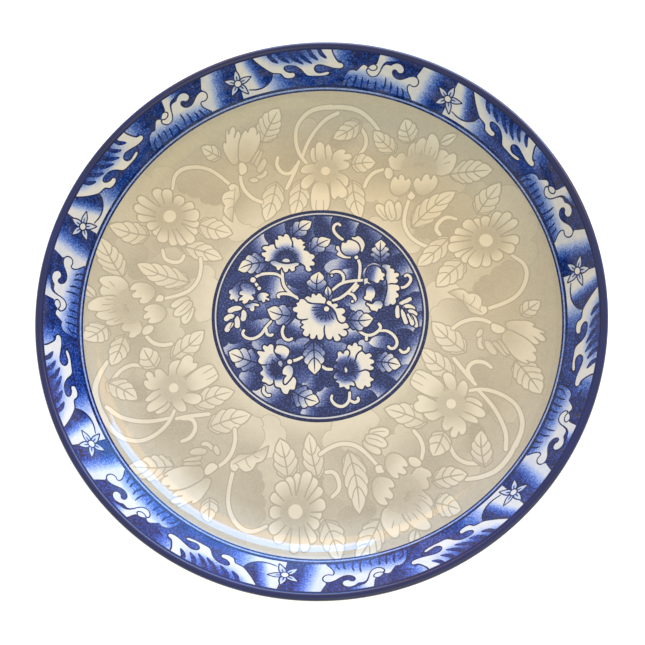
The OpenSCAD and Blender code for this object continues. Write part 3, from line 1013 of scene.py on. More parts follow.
def bud_flower(d):
    d.shape(smooth([(18.5, 46.2), (21, 46.2), (23, 47), (26, 44.5), (27.2, 41), (26.2, 37.8), (25, 36.2),
                    (23.4, 39)]), 0.03, 1.0, PEN)
    d.shape(smooth([(9.8, 40.6), (11.6, 40.8), (12.6, 38), (14.6, 35.4), (19, 33.4), (15, 32.6),
                    (11.6, 33.8), (9.8, 35.6), (11, 37.2, 1), (9.6, 38.6)]), 0.03, 1.0, 0.8)
    crown = [(12.8, 37.5), (12.6, 40.6), (13.4, 43), (15.6, 42.8, 1), (16.8, 44.6), (19, 44.4), (22, 43),
             (23.8, 40.5), (24, 37.5), (21.5, 34.8), (18, 34.2), (15, 35)]
    outlined(d, crown, fade((18, 34.5), (18, 39.5), 0.55, 0.02))


def cloud_flower(d):
    """The half-hidden flower at the left, blue above and white along its frilled edge."""
    petals = (
        ([(-43.5, 19.5), (-47.4, 19.7), (-50.3, 18.1), (-51.5, 15.6), (-53.6, 14.4), (-53.9, 12.5),
          (-52.7, 11.6, 1), (-53.5, 9.6), (-52.3, 8.1), (-50.6, 8.6, 1), (-49.4, 7), (-47.6, 7.4),
          (-45.6, 10), (-43, 14)],
         (-47.5, 15), (-52.2, 11), 0.7),
        ([(-36.6, 8), (-37, 10.8), (-35, 12.6), (-32.4, 12.9), (-29.8, 11.8), (-29.6, 10.4), (-31.2, 9.9, 1),
          (-29.1, 8.8), (-29.6, 7.2), (-31.6, 8.2, 1), (-31.6, 6.9), (-33.3, 6.3), (-34.3, 7.6, 1),
          (-35.6, 7)],
         (-37, 9), (-33, 9.6), 0.62),
        ([(-44.5, 4.9), (-42.2, 5.8), (-39.5, 6.7), (-36.6, 6.3), (-35, 5.2), (-35.8, 3.9), (-38, 4.3, 1),
          (-37.8, 2.2), (-39.2, 0.9), (-41, 1.8), (-41.4, 3.2, 1), (-42.8, 3)],
         (-42.5, 6), (-39.4, 3), 0.55),
        ([(-46.7, 18), (-43.5, 18.8), (-39.6, 17.4), (-37.6, 14.3), (-37.7, 11.7), (-39.8, 11.3, 1),
          (-38.2, 9.2), (-39.5, 7.5), (-41.1, 8.1, 1), (-42.4, 6.3), (-44.5, 5.6), (-45.8, 6.7),
          (-45.4, 7.8, 1), (-47.5, 7.5), (-47.3, 9.4), (-45.4, 10.8, 1), (-47.4, 11.4), (-47.4, 13.3),
          (-45.8, 14.3, 1), (-47, 16)],
         (-42, 16.6), (-43.4, 10.6), 0.6),
    )
    for points, deep, pale, dark in petals:
        outlined(d, points, fade(deep, pale, dark, 0.0))


def medallion_drawing():
    d = Drawing()
    medallion_ground(d)
    medallion_vines(d)
    medallion_leaves(d)
    left_sprig(d)
    right_sprig(d)
    cloud_flower(d)
    bud_flower(d)
    right_flower(d)
    lower_left_flower(d)
    lower_right_flower(d)
    upper_left_flower(d)
    middle_flower(d)
    medallion_rings(d)
    return d


# ---------------------------------------------------------------- the field's drawing
GROUND = 0.68
SOFT_PEN = 0.85
SOFT_EDGE = 0.98


def soft_shape(d, points, tone):
    d.shape(smooth(points, step=0.9), tone, SOFT_EDGE, SOFT_PEN)


def soft(d, points, heart, near, far, deep=GROUND):
    """A pale petal that greys towards the flower's heart."""
    soft_shape(d, points, glow(heart, near, far, deep, 0.0))


def soft_leaf(d, base, tip, width, lobes, bend):
    leaf(d, base, tip, width, lobes, bend, fill=(0.35, 0.0), edge=SOFT_EDGE, pen=SOFT_PEN, notch=0.14)


def soft_vines(d, strokes):
    vines(d, strokes, width=2.2, light=0.0, edge=SOFT_EDGE, pen=0.6)


def soft_line(d, points):
    d.line(smooth(points, False, 0.9), 0.6, 0.9, ends=(1, 0.3))


def open_blossom(d):
    heart = (5.6, 91.3)
    petals = (
        [(-2, 97), (-3.9, 101), (-3.6, 105.6), (-1.8, 107.3), (0, 105), (1, 98)],
        [(5, 98), (5.2, 106), (7.2, 109.3), (9.2, 106.5), (9.6, 99)],
        [(0.5, 98), (-0.8, 104), (-0.2, 109.5), (2.2, 111), (4.6, 109), (5.4, 103), (5.4, 98)],
        [(9.5, 96.5), (10.3, 102.6), (13, 105), (16.6, 105.6), (18.4, 103.8), (17, 102.2, 1), (20.4, 102.6),
         (22, 100.2), (20.2, 98.2), (16.6, 98, 1), (20.2, 96.4), (20, 93.4), (17.2, 91.8), (12.5, 91.6)],
        [(12.5, 90.4), (16, 89.4), (19.3, 86.8), (19.6, 83), (17.6, 80.2), (14, 81.6), (11, 86)],
        [(8.8, 85), (8.6, 79), (9.2, 74.2), (11.4, 72.5), (13, 74.6, 1), (15.2, 73.2), (18.2, 74.4),
         (18.9, 78), (16.6, 81.6), (12.5, 86)],
        [(-1.5, 83), (-3.4, 77), (-3.4, 70), (-2, 65.8), (2.6, 65), (6.8, 66), (8.4, 71), (8.2, 77),
         (6.6, 83), (3, 85)],
        [(-1, 85.5), (-5.6, 79.8), (-8.8, 80.2), (-9.6, 84), (-7, 88), (-1.5, 90)],
        [(-1, 91), (-6, 89.6), (-9.7, 90.8), (-9, 94), (-5.6, 96), (-1, 95.8)],
    )
    for points in petals:
        soft(d, points, heart, 6, 16)
    d.fill(disc(heart, 8), glow(heart, 6, 8, GROUND, 0.6))
    soft_line(d, [(0, 65.6), (-0.2, 69), (0.2, 73)])
    soft_line(d, [(4.4, 65.6), (4.4, 69), (4.2, 73)])
    d.fill(disc(heart, 2.7), 0.0)


def peony(d):
    heart = (62, 91)
    petals = (
        [(46.5, 91), (44.6, 92.4), (43.9, 95.4), (43.8, 98.8), (46, 100.8), (48.2, 98.9, 1), (50, 101.6),
         (52.8, 102.3), (54.8, 100), (55, 95), (52.8, 90.8)],
        [(41.6, 86.6), (41.2, 90.6), (43.1, 93), (46, 91.4), (46.6, 87.4), (43.9, 84.8)],
        [(71, 96), (75, 102.6), (78.4, 102), (80.4, 99.4, 1), (82.9, 99.9), (84.8, 98), (84.2, 93.6),
         (81.4, 88.6), (76.6, 86.4), (73, 87), (70, 90.8)],
        [(55.8, 96.5), (55.6, 103), (56.8, 106.8), (59.4, 108.6), (60.6, 107.4, 1), (62.6, 110),
         (65.6, 110.8), (67, 108.6, 1), (69.2, 112.2), (72.2, 111.2), (74.2, 107.8), (74.6, 103.2),
         (71, 96)],
    )
    for points in petals:
        soft(d, points, heart, 7, 20)
    d.fill(disc(heart, 11), glow(heart, 7, 11, GROUND, 0.6))
    for x, y, end_x, end_y in ((60.6, 107.4, 60, 101), (67, 108.4, 65.6, 101), (64.4, 104, 63.6, 99),
                               (70, 105, 68.4, 100), (72.6, 102, 70.4, 98), (58, 104, 58.6, 99),
                               (80.4, 99.4, 77, 97), (81, 95, 76.6, 94)):
        soft_line(d, [(x, y), ((x + end_x) / 2 - 0.3, (y + end_y) / 2), (end_x, end_y)])
    for a in range(50, 131, 16):
        d.line([polar(heart, 2.6, a), polar(heart, 5.6, a)], 0.8, 0.95, ends=(1, 0.3))
    halves = (
        [(44.8, 77.6), (44.5, 82), (46.3, 86), (48.2, 87), (49.5, 84.6, 1), (50.6, 88), (53, 87.4),
         (53.8, 84, 1), (55.7, 85.8), (57.3, 83.6), (56.9, 80.4), (54.6, 76.4), (50.6, 74.2), (47, 74.6)],
        [(59.2, 78), (58.4, 82.4), (60.6, 85.8), (62.4, 85.4), (63.2, 83.5, 1), (65, 87.4), (67.8, 87.9),
         (68.9, 84.2, 1), (71, 87.4), (73.2, 85), (73.2, 81.6), (70.4, 77), (65, 74), (61, 75)],
    )
    for points in halves:
        middle = np.mean([q[:2] for q in points], 0)
        tone = fade((middle[0], middle[1] - 7), (middle[0], middle[1] + 2), 0.6, 0.0)
        soft_shape(d, points, tone)
    d.shape(smooth([(54.4, 73.8), (55.6, 75.8), (57.1, 77.9, 1), (58.8, 75.8), (59.7, 73.6), (57, 71.3)]),
            0.0,
            SOFT_EDGE, SOFT_PEN)


DAISY_AT = (-89.3, 64.0)
DAISY_PETALS = (
    (232, 15.0, 3.0), (208, 15.4, 3.2), (184, 19.4, 3.0), (168, 21.4, 2.9), (151, 21.2, 2.7),
    (118, 19.0, 3.3), (98, 17.6, 3.3), (62, 14.6, 3.7), (27, 16.4, 3.2), (327, 21.0, 2.4), (342, 19.4, 2.7),
    (1, 18.4, 4.0), (255, 17.4, 3.7), (281, 19.4, 3.0), (298, 21.3, 3.0), (312, 23.0, 3.1),
)


def daisy(d):
    for turn, reach, half in DAISY_PETALS:
        side = [(6, 1.4), (reach * 0.62, half * 0.85), (reach - 2.6, half), (reach - 0.5, half * 0.62)]
        outline = [*side, (reach, 0), *[(r, -w) for r, w in reversed(side)]]
        at = placed(smooth(outline, step=0.9), math.radians(turn), DAISY_AT)
        d.shape(at, glow(DAISY_AT, 0.45 * reach, 0.92 * reach, GROUND, 0.0), SOFT_EDGE, SOFT_PEN)
    d.fill(disc(DAISY_AT, 8.5), glow(DAISY_AT, 6, 8.5, GROUND + 0.06, GROUND - 0.04))
    d.fill(disc(DAISY_AT, 3.9), 0.0)


def tulip(d):
    heart = (-43, 97)
    petals = (
        [(-51.3, 96.6), (-57, 104.6), (-58, 108.4), (-57.3, 111.3), (-56, 110.4, 1), (-56, 115.6),
         (-55, 118.2), (-54.2, 115.6, 1), (-53.1, 118.6), (-51, 120.1), (-49.8, 118.4), (-51, 113.6, 1),
         (-48.8, 118), (-47, 116.8), (-47.4, 113), (-48.4, 107), (-48, 99)],
        [(-47.4, 99), (-48.4, 105.4), (-48, 111.3), (-46.1, 116.4), (-43.6, 119), (-42.6, 117.3, 1),
         (-41.4, 119.8), (-38.8, 120.8), (-37, 119), (-36.9, 116, 1), (-35.9, 118.2), (-34.8, 116),
         (-34.8, 112), (-36, 107.4), (-39.6, 101), (-42, 98)],
        [(-40.6, 97.3), (-37.6, 104.2), (-35.2, 107), (-34.9, 105), (-36.8, 100), (-39, 97)],
        [(-38.4, 97), (-35.4, 103.4), (-33.8, 106), (-33.2, 103.8), (-35, 98.6), (-36.6, 95)],
        [(-36.8, 93.4), (-34.6, 98), (-32.4, 100.6), (-30.6, 99.4), (-30.9, 95.8), (-33, 92.4), (-35.6, 91)],
        [(-36.8, 89), (-33.4, 90.4), (-31.3, 93), (-29.9, 91.6), (-30.7, 88.8), (-33.8, 87), (-37, 87)],
        [(-41, 87.2), (-38, 88.1), (-35.5, 87), (-35.4, 85.2), (-38.6, 84.6), (-41, 85.6)],
    )
    for points in petals:
        soft(d, points, heart, 5, 19, 0.55)
    soft_vines(d, [[(-46.6, 91.4), (-46, 85), (-43.6, 79.6), (-38.6, 74.6), (-32.6, 71.6)]])
    d.shape(smooth([(-48, 96.8), (-46.6, 98.4), (-44.3, 97.7), (-42.5, 94.8), (-42.7, 91.6), (-44.2, 90.2),
                    (-46.4, 89.6), (-47.6, 91.4)]), 0.0, SOFT_EDGE, SOFT_PEN)


def lobed_leaf(d):
    outline = [(-46.9, 80.3), (-47.4, 82.4), (-50, 84.3), (-52.4, 84.2), (-54, 82.4), (-53.2, 80, 1),
               (-56.6, 78.2), (-57.9, 74.6), (-56.8, 71.4), (-55.8, 70.2, 1), (-56.5, 66.6), (-54.7, 63),
               (-50.6, 59.4, 1), (-50.2, 65), (-48.8, 71.7), (-46.4, 76)]
    soft_shape(d, outline, fade((-47.5, 72), (-53, 74), 0.6, 0.0))
    soft_line(d, [(-49.6, 82), (-50, 74), (-50.6, 61)])
    soft_line(d, [(-50, 80.4), (-52, 79.6), (-53.2, 80)])
    soft_line(d, [(-50.2, 74.2), (-53.6, 74.8), (-56.6, 74)])
    soft_line(d, [(-50.2, 69.4), (-52.6, 68.8), (-54.4, 67)])


def three_lobes(d):
    lobes = (
        [(42, 59), (38, 61.6), (35.6, 65), (35.4, 68.4), (38, 69.6), (40.8, 68), (43, 64)],
        [(50, 59.4), (51.4, 64), (51.2, 68.6), (49.6, 70.8), (47.4, 69.6), (46.8, 64), (47, 59)],
        [(44.4, 58.4), (41.6, 63), (41.2, 68.6), (43.2, 71.6), (45.8, 70.6), (47.2, 66), (47.6, 60)],
    )
    for points in lobes:
        soft_shape(d, points, fade((46, 57), (42, 66), 0.45, 0.0))
    soft_line(d, [(41.6, 60.6), (38.6, 64.6), (37.4, 67)])
    soft_line(d, [(45.4, 60), (43.8, 65), (43.6, 69)])


# Each cloud: its notches, where it is pale, where it is deep, and its ink at both
FIELD_CLOUDS = (
    ([(-122, 66), (-112, 78), (-100, 86), (-86, 92), (-80, 82), (-71, 77), (-62, 72), (-56, 60), (-72, 52),
      (-104, 50)], (-90, 56), (-92, 92), 0.42, 0.6),
    ([(-85, 84), (-84, 92), (-77, 95), (-68, 93), (-60, 87), (-56, 80), (-58, 73), (-65, 72), (-71, 77),
      (-79, 79)], (-72, 92), (-70, 74), 0.62, 0.86),
    ([(-56, 58), (-53, 66), (-49, 68), (-42, 61), (-35, 55), (-44, 48)], (-50, 66), (-42, 54), 0.1, 0.3),
    ([(-48, 70), (-46, 78), (-38, 74), (-33, 70), (-33, 58), (-40, 58)], (-35, 62), (-46, 72), 0.3, 0.78),
    ([(-31, 114), (-24, 113), (-13, 110), (-12, 98), (-20, 92), (-27, 96), (-30, 104)],
     (-30, 112), (-18, 98), 0.6, 0.9),
    ([(-12, 112), (-12, 122), (0, 123), (0, 114), (-5, 106)], (-8, 122), (-4, 110), 0.5, 0.86),
    ([(8, 112), (24, 113), (26, 103), (22, 99), (12, 106)], (22, 104), (16, 110), 0.6, 0.9),
    ([(30, 122), (36, 112), (43, 102), (42, 92), (34, 88), (36, 98), (30, 104)],
     (34, 118), (38, 96), 0.5, 0.86),
    ([(28, 82), (34, 90), (43, 92), (45, 80), (50, 74), (36, 72), (28, 74)], (34, 72), (36, 90), 0.35, 0.85),
    ([(74, 78), (82, 83), (97, 82), (101, 74), (92, 68), (82, 72)], (98, 78), (82, 76), 0.55, 0.85),
    ([(57, 58), (70, 70), (82, 62), (76, 50), (66, 44), (56, 48)], (76, 50), (62, 60), 0.55, 0.85),
    ([(32, 60), (40, 58), (52, 60), (56, 48), (62, 42), (52, 40)], (42, 50), (52, 62), 0.2, 0.6),
    ([(-104, 48), (-92, 50), (-82, 46), (-74, 34), (-76, 24), (-90, 30), (-108, 37)], (-106, 44), (-84, 38),
     0.6, 0.88),
    ([(-118, 34), (-108, 36), (-100, 26), (-90, 18), (-100, 10), (-116, 18)],
     (-116, 26), (-98, 20), 0.5, 0.82),
)


def field_clouds():
    d = Drawing()
    for notches, pale, deep, light, dark in FIELD_CLOUDS:
        d.shape(lobed(notches, 0.3, 1.2), fade(pale, deep, light, dark), 0.8, 0.5)
    return d


FIELD_STEMS = (
    [(-23.7, 101.6), (-24.2, 96), (-21, 91), (-16, 90.4), (-12, 95.6)],
    [(-10.6, 98.4), (-13.4, 91), (-18.2, 80)],
    [(-5.2, 95.4), (-10.6, 103.4), (-12.8, 112.4), (-12, 121), (-7.6, 127), (-1, 130.4), (10, 131.6)],
    [(-8.8, 100.6), (-5, 111), (0, 119.2), (6, 125), (14, 128.4)],
    [(6, 131), (16, 131), (26, 128.6), (33, 123.6), (38.5, 117)],
    [(26, 101), (30, 107), (30, 114), (26, 121)],
    [(83.6, 58.8), (77.6, 60), (72.8, 56.6), (71.4, 52.4), (73.6, 49)],
    [(41, 91.6), (35, 89.4), (31, 85), (29, 80)],
    [(55.8, 72), (53.2, 63.4), (52.6, 56), (55.6, 49), (61, 44.3), (67, 41.3)],
    [(-88.3, 81), (-86.8, 89), (-82.2, 93.6), (-74.3, 95.5), (-67, 94.2), (-60.5, 90.3), (-53.2, 84)],
)


# Each leaf: its base, its tip, its width, its lobes and how far its rib bends
FIELD_LEAVES = (
    ((21, 95), (36.4, 96.2), 13, 3, 0.5), ((27.5, 123), (10, 112.4), 12, 4, 0.8),
    ((-9.5, 86), (-14, 61.5), 13, 4, 1.2), ((-24.4, 85), (-30.6, 59.4), 14, 4, 0.8),
    ((21.8, 85), (26.6, 60), 13.5, 4, -1.0), ((48.5, 102), (35, 117), 12, 4, 0.6),
    ((58, 108), (54, 122), 13, 4, 0.5), ((80, 87.4), (105, 86.4), 14, 5, 1.0),
    ((74, 106), (85, 108.6), 6, 1, 0.0), ((56.6, 53.8), (84, 76.6), 14, 5, 1.6),
    ((-72.4, 59), (-50.2, 52), 14, 4, -0.5), ((-81, 44.6), (-55.6, 36.2), 12, 4, 0.8),
    ((-101, 52), (-123, 55), 14, 4, 0.5), ((-34, 111), (-22.5, 131), 15, 5, 1.0),
    ((-59, 101.6), (-71, 107.5), 10, 3, 0.0),
)


def field_plants():
    d = Drawing()
    soft_vines(d, FIELD_STEMS)
    for base, tip, width, lobes, bend in FIELD_LEAVES:
        soft_leaf(d, base, tip, width, lobes, bend)
    lobed_leaf(d)
    three_lobes(d)
    tulip(d)
    daisy(d)
    peony(d)
    open_blossom(d)
    return d


def field_drawing():
    """Soft clouds under flowers: one unit of each, drawn three times about the print's centre."""
    d = Drawing()
    d.fill(disc((0, 0), PLATE_R), glow(FIELD_CENTRE, 60, 72, 0.25, GROUND))
    for layer in (field_clouds(), field_plants()):
        for i in range(FIELD_COUNT):
            d.add(layer.copied(turn=i * FIELD_STEP, move=FIELD_CENTRE))
    return d


# ---------------------------------------------------------------- materials
def srgb(*rgb):
    """A display colour, 0 to 255, as the linear colour that shaders use."""
    c = [v / 255 for v in rgb]
    return [v / 12.92 if v <= 0.04045 else ((v + 0.055) / 1.055) ** 2.4 for v in c] + [1.0]


def set_inputs(node, **values):
    """Sets a node's inputs by name, with _ for a space, or its properties, with _ in front."""
    for key, value in values.items():
        if key[0] == "_":
            setattr(node, key[1:], value)
        else:
            node.inputs[key.replace("_", " ")].default_value = value
    return node


class Nodes:
    """A material's node tree, with short ways to add and join nodes."""

    def __init__(self, name):
        self.material = bpy.data.materials.new(name)
        self.material.use_nodes = True
        self.tree = self.material.node_tree
        self.shader = self.tree.nodes["Principled BSDF"]

    def add(self, kind, **values):
        return set_inputs(self.tree.nodes.new("ShaderNode" + kind), **values)

    def join(self, out, into):
        self.tree.links.new(out, into)

    def noise(self, scale, detail=2.0):
        node = self.add("TexNoise", Scale=scale, Detail=detail)
        self.join(self.add("TexCoord").outputs["Object"], node.inputs["Vector"])
        return node.outputs["Fac"]

    def about(self, middle, share, pattern):
        """middle + share * (pattern - 0.5)."""
        node = self.add("Math", _operation="MULTIPLY_ADD")
        self.join(pattern, node.inputs[0])
        node.inputs[1].default_value = share
        node.inputs[2].default_value = middle - share / 2
        return node.outputs[0]

    def math(self, operation, first, second):
        node = self.add("Math", _operation=operation)
        self.join(first, node.inputs[0])
        self.join(second, node.inputs[1])
        return node.outputs[0]

    def ramp(self, factor, stops):
        node = self.add("ValToRGB")
        band = node.color_ramp
        while len(band.elements) < len(stops):
            band.elements.new(0.5)
        for element, (at, colour) in zip(band.elements, stops):
            element.position = at
            element.color = colour
        self.join(factor, node.inputs["Fac"])
        return node.outputs["Color"]

    def bump(self, height, depth):
        node = self.add("Bump", Strength=1.0, Distance=depth)
        self.join(height, node.inputs["Height"])
        return node.outputs["Normal"]


# Noise scales are per metre, and the depths of bumps are in metres
FLECKS = 1050.0
MOTTLE = 240.0
GLAZE_WAVES = 70.0
GLAZE_WAVE_DEPTH = 0.0002
BISQUE_GRAIN = 2600.0
BISQUE_GRAIN_DEPTH = 0.00008
GLAZE_IOR = 1.58
FLOOR_GLOW = 0.3
FLOOR_SIZE = 6.0


def glazed(nodes, colour, gloss=0.05):
    """Colour under a clear, slightly uneven coat of glaze."""
    shader = set_inputs(nodes.shader, Roughness=0.42, Specular_IOR_Level=0.0, Coat_Weight=1.0,
                        Coat_Roughness=gloss, Coat_IOR=GLAZE_IOR)
    nodes.join(colour, shader.inputs["Base Color"])
    lumps = nodes.noise(GLAZE_WAVES, 1.0)
    nodes.join(nodes.bump(lumps, GLAZE_WAVE_DEPTH), shader.inputs["Coat Normal"])
    return nodes.material


def ink_material(name, stops, grain, mottle):
    """Printed colour: the drawing's ink value, unevenly taken, through a scale of colours."""
    nodes = Nodes(name)
    ink = nodes.add("Attribute", _attribute_name="ink").outputs["Fac"]
    # Flecks multiply the ink, so that bare porcelain gets none
    ink = nodes.math("MULTIPLY", ink, nodes.about(1.0, grain, nodes.noise(FLECKS, 1.0)))
    ink = nodes.math("ADD", ink, nodes.about(0.0, mottle, nodes.noise(MOTTLE, 3.0)))
    return glazed(nodes, nodes.ramp(ink, stops))


def border_material():
    stops = [(0.0, srgb(236, 232, 222)), (0.2, srgb(178, 195, 232)), (0.45, srgb(86, 122, 202)),
             (0.7, srgb(28, 68, 154)), (0.9, srgb(11, 40, 112)), (1.0, srgb(6, 22, 64))]
    return ink_material("border print", stops, 1.4, 0.12)


def medallion_material():
    stops = [(0.0, srgb(234, 227, 210)), (0.2, srgb(189, 194, 211)), (0.45, srgb(108, 122, 172)),
             (0.7, srgb(54, 70, 130)), (0.9, srgb(27, 39, 94)), (1.0, srgb(12, 20, 60))]
    return ink_material("medallion print", stops, 1.3, 0.12)


def field_material():
    stops = [(0.0, srgb(232, 222, 198)), (0.5, srgb(208, 198, 174)), (1.0, srgb(181, 171, 149))]
    return ink_material("field print", stops, 0.6, 0.25)


def plain_glaze_material(name, colour, deep, gloss=0.05):
    nodes = Nodes(name)
    return glazed(nodes, nodes.ramp(nodes.noise(40.0, 4.0), [(0.3, colour), (0.7, deep)]), gloss=gloss)


def bisque_material():
    nodes = Nodes("bare porcelain")
    stops = [(0.35, srgb(226, 219, 205)), (0.65, srgb(208, 199, 182))]
    nodes.join(nodes.ramp(nodes.noise(900.0, 6.0), stops), nodes.shader.inputs["Base Color"])
    set_inputs(nodes.shader, Roughness=0.85)
    grain = nodes.bump(nodes.noise(BISQUE_GRAIN, 4.0), BISQUE_GRAIN_DEPTH)
    nodes.join(grain, nodes.shader.inputs["Normal"])
    return nodes.material


def floor_material():
    """A pale floor that gives off a little light, as the photo's background is pure white."""
    nodes = Nodes("floor")
    stops = [(0.4, srgb(250, 250, 250)), (0.6, srgb(246, 246, 246))]
    nodes.join(nodes.ramp(nodes.noise(3.0), stops), nodes.shader.inputs["Base Color"])
    set_inputs(nodes.shader, Roughness=0.9, Emission_Strength=FLOOR_GLOW)
    return nodes.material


# ---------------------------------------------------------------- pieces
def give(obj, material, nodes):
    obj.data.materials.append(material)
    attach(obj, "root")
    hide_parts(*nodes)


def make_border():
    start = (STAR_TURN - BORDER_TURN - BORDER_STEP) * BORDER_MEAN_R
    across = np.linspace(start, start + REPEAT, TURN_STEPS // BORDER_COUNT + 1)
    up = np.linspace(0, BORDER_H, 15)
    outline = np.concatenate([
        np.stack([across, 0 * across], 1),
        np.stack([0 * up[1:] + across[-1], up[1:]], 1),
        np.stack([across[-2::-1], 0 * across[1:] + BORDER_H], 1),
        np.stack([0 * up[1:-1] + across[0], up[-2:0:-1]], 1),
    ])
    flat = cut(outline, border_drawing(), spacing=1.6)
    material = border_material()
    for i in range(BORDER_COUNT):
        place = on_wall(STAR_TURN + i * BORDER_STEP)
        piece = printed(f"border_print_{i + 1}", flat, place, spacing=4.0)
        give(piece, material, [f"border_transfer_{i + 1}", "face_and_back_glaze"])


def make_field():
    material = field_material()
    steps = TURN_STEPS // FIELD_COUNT
    drawing = field_drawing()
    for i in range(FIELD_COUNT):
        start = FIELD_TURN + i * FIELD_STEP
        stop = start + FIELD_STEP
        side = np.linspace(MEDALLION_R, BORDER_IN_R, 46)[1:-1, None]
        outline = np.concatenate([
            circle_part(BORDER_IN_R, start, stop, steps),
            side[::-1] * np.array([[math.cos(stop), math.sin(stop)]]),
            circle_part(MEDALLION_R, stop, start, steps // 2),
            side * np.array([[math.cos(start), math.sin(start)]]),
        ])
        flat = cut(outline, drawing, spacing=2.0)
        piece = printed(f"field_print_{i + 1}", flat, on_field, spacing=5.0)
        give(piece, material, [f"field_transfer_{i + 1}", "face_and_back_glaze"])


def make_medallion():
    outline = circle_part(MEDALLION_R, 0, 2 * math.pi, TURN_STEPS // 2)[:-1]
    flat = cut(outline, medallion_drawing(), spacing=1.8)
    piece = printed("medallion_print", flat, on_field, spacing=6.0)
    give(piece, medallion_material(), ["medallion_transfer", "face_and_back_glaze"])


def wall_arc(depth, start, stop, steps):
    return [arc_point(WALL_C, WALL_R + depth, s) for s in np.linspace(start, stop, steps)]


def cove_arc(depth, start, stop, steps):
    return [arc_point(COVE_C, COVE_R + depth, s) for s in np.linspace(start, stop, steps)]


def lip_arc(depth, start, stop, steps):
    return [arc_point(LIP_C, -(LIP_R - depth), s) for s in np.linspace(start, stop, steps)]


def band_profile(depth):
    return wall_arc(depth, BAND_SLOPE, WALL_SLOPE, 3)[:-1] + lip_arc(depth, WALL_SLOPE, -BAND_WRAP, 22)


def back_profile(depth):
    return (
        lip_arc(depth, -BAND_WRAP, WALL_SLOPE - math.pi, 10)[:-1]
        + wall_arc(WALL_T - depth, WALL_SLOPE, COVE_SLOPE, 14)[:-1]
        + cove_arc(WALL_T - depth, COVE_SLOPE, 0, 18)
    )


def foot_curve(centre, radius, start, stop):
    a = np.radians(np.linspace(start, stop, 7))
    return [(centre[0] + radius * math.cos(t), centre[1] + radius * math.sin(t)) for t in a]


def foot_outside(depth):
    """Down the outside of the foot ring, with the glaze pooled where it meets the back."""
    r = FILLET + depth
    corner = (FOOT_R + FILLET, RECESS_H - FILLET)
    return foot_curve(corner, r, 90, 172) + [(FOOT_OUT - depth, BARE_H)]


def foot_inside(depth):
    r = FILLET + depth
    corner = (RECESS_R - 2 * GLAZE - FILLET, RECESS_H - FILLET)
    return [(RECESS_R + depth - GLAZE, BARE_H)] + foot_curve(corner, r, 8, 90)


def make_turned():
    navy = plain_glaze_material("navy band", srgb(18, 28, 92), srgb(13, 20, 72), gloss=0.2)
    band = turned_piece("lip_band_paint", band_profile(0) + band_profile(UNDER)[::-1])
    give(band, navy, ["lip_band", "face_and_back_glaze"])
    white = plain_glaze_material("clear glaze", srgb(236, 234, 226), srgb(228, 226, 217))
    outer = back_profile(0) + foot_outside(0)
    inner = back_profile(GLAZE_UNDER) + foot_outside(GLAZE_UNDER)
    back = turned_piece("glazed_back", outer + inner[::-1])
    give(back, white, ["face_and_back_glaze"])
    outer = foot_inside(0) + [(0, RECESS_H)]
    inner = foot_inside(GLAZE_UNDER) + [(0, RECESS_H + GLAZE_UNDER)]
    recess = turned_piece("glazed_recess", outer + inner[::-1])
    give(recess, white, ["foot_recess_glaze"])


def make_body():
    """The porcelain inside, whose bare foot stands on the table."""
    deep = GLAZE + PRINT
    middle = (FOOT_OUT + RECESS_R - GLAZE) / 2
    half = FOOT_FACE_W / 2
    profile = (
        [(0, WELL_H - deep)]
        + cove_arc(deep, 0, COVE_SLOPE, 14)[:-1]
        + wall_arc(deep, COVE_SLOPE, WALL_SLOPE, 10)[:-1]
        + lip_arc(deep, WALL_SLOPE, -BAND_WRAP, 12)[:-1]
        + back_profile(GLAZE)
        + foot_outside(GLAZE)
        + foot_curve((middle + half - FOOT_ROUND, FOOT_ROUND), FOOT_ROUND, 0, -90)
        + foot_curve((middle - half + FOOT_ROUND, FOOT_ROUND), FOOT_ROUND, 270, 180)
        + foot_inside(GLAZE)
        + [(0, RECESS_H + GLAZE)]
    )
    body = turned_piece("porcelain", profile)
    give(body, bisque_material(), ["porcelain_body"])


# ---------------------------------------------------------------- studio
def make_floor():
    bpy.ops.mesh.primitive_plane_add(size=FLOOR_SIZE, location=(0, 0, 0))
    floor = bpy.context.object
    floor.name = "floor"
    floor.data.materials.append(floor_material())


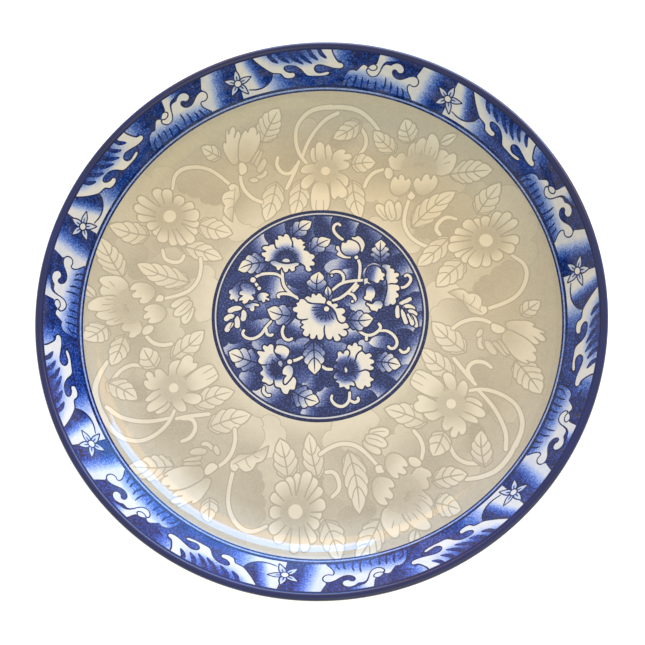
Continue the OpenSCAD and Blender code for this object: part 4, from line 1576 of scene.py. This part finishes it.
def area_light(name, turn, height, distance, size, power, colour):
    """A soft light aimed at the plate; turn and height are its direction in degrees."""
    t, h = math.radians(turn), math.radians(height)
    at = Vector((math.cos(t) * math.cos(h), math.sin(t) * math.cos(h), math.sin(h))) * distance
    data = bpy.data.lights.new(name, "AREA")
    data.shape = "RECTANGLE"
    data.size, data.size_y = size
    data.energy = power
    data.color = colour
    lamp = bpy.data.objects.new(name, data)
    lamp.location = at
    lamp.rotation_euler = (-at).to_track_quat("-Z", "Y").to_euler()
    bpy.context.scene.collection.objects.link(lamp)


def make_lights():
    world = bpy.data.worlds.new("room")
    world.use_nodes = True
    background = world.node_tree.nodes["Background"]
    background.inputs["Color"].default_value = (0.98, 1.0, 0.965, 1)
    background.inputs["Strength"].default_value = 0.8
    bpy.context.scene.world = world
    area_light("window", turn=73, height=16, distance=2.4, size=(2.7, 1.0), power=76,
               colour=(0.14, 0.45, 1.0))
    area_light("warm_lamp", turn=74, height=36, distance=1.0, size=(1.5, 0.5), power=5.8,
               colour=(1.0, 0.52, 0.02))
    area_light("near_lamp", turn=-60, height=40, distance=1.6, size=(1.6, 1.0), power=3.6,
               colour=(1.0, 0.86, 0.3))


CAMERA_AT = Vector((24.467, -91.857, 406.115)) * MM
CAMERA_RIGHT = Vector((0.99840, 0.00205, -0.05649))
CAMERA_UP = Vector((0.00996, 0.97733, 0.21147))
LENS = 39.07


def make_camera():
    """The photo's own view, fitted from the plate's circles and the border's star flowers."""
    data = bpy.data.cameras.new("camera")
    data.sensor_width = 36
    data.lens = LENS
    data.clip_start = 0.01
    camera = bpy.data.objects.new("camera", data)
    back = CAMERA_RIGHT.cross(CAMERA_UP)
    turn = Matrix((CAMERA_RIGHT, CAMERA_UP, back)).transposed().to_4x4()
    camera.matrix_world = Matrix.Translation(CAMERA_AT) @ turn
    bpy.context.scene.collection.objects.link(camera)
    bpy.context.scene.camera = camera


bpy.context.scene.view_settings.view_transform = "Standard"
make_border()
make_field()
make_medallion()
make_turned()
make_body()
make_floor()
make_lights()
make_camera()
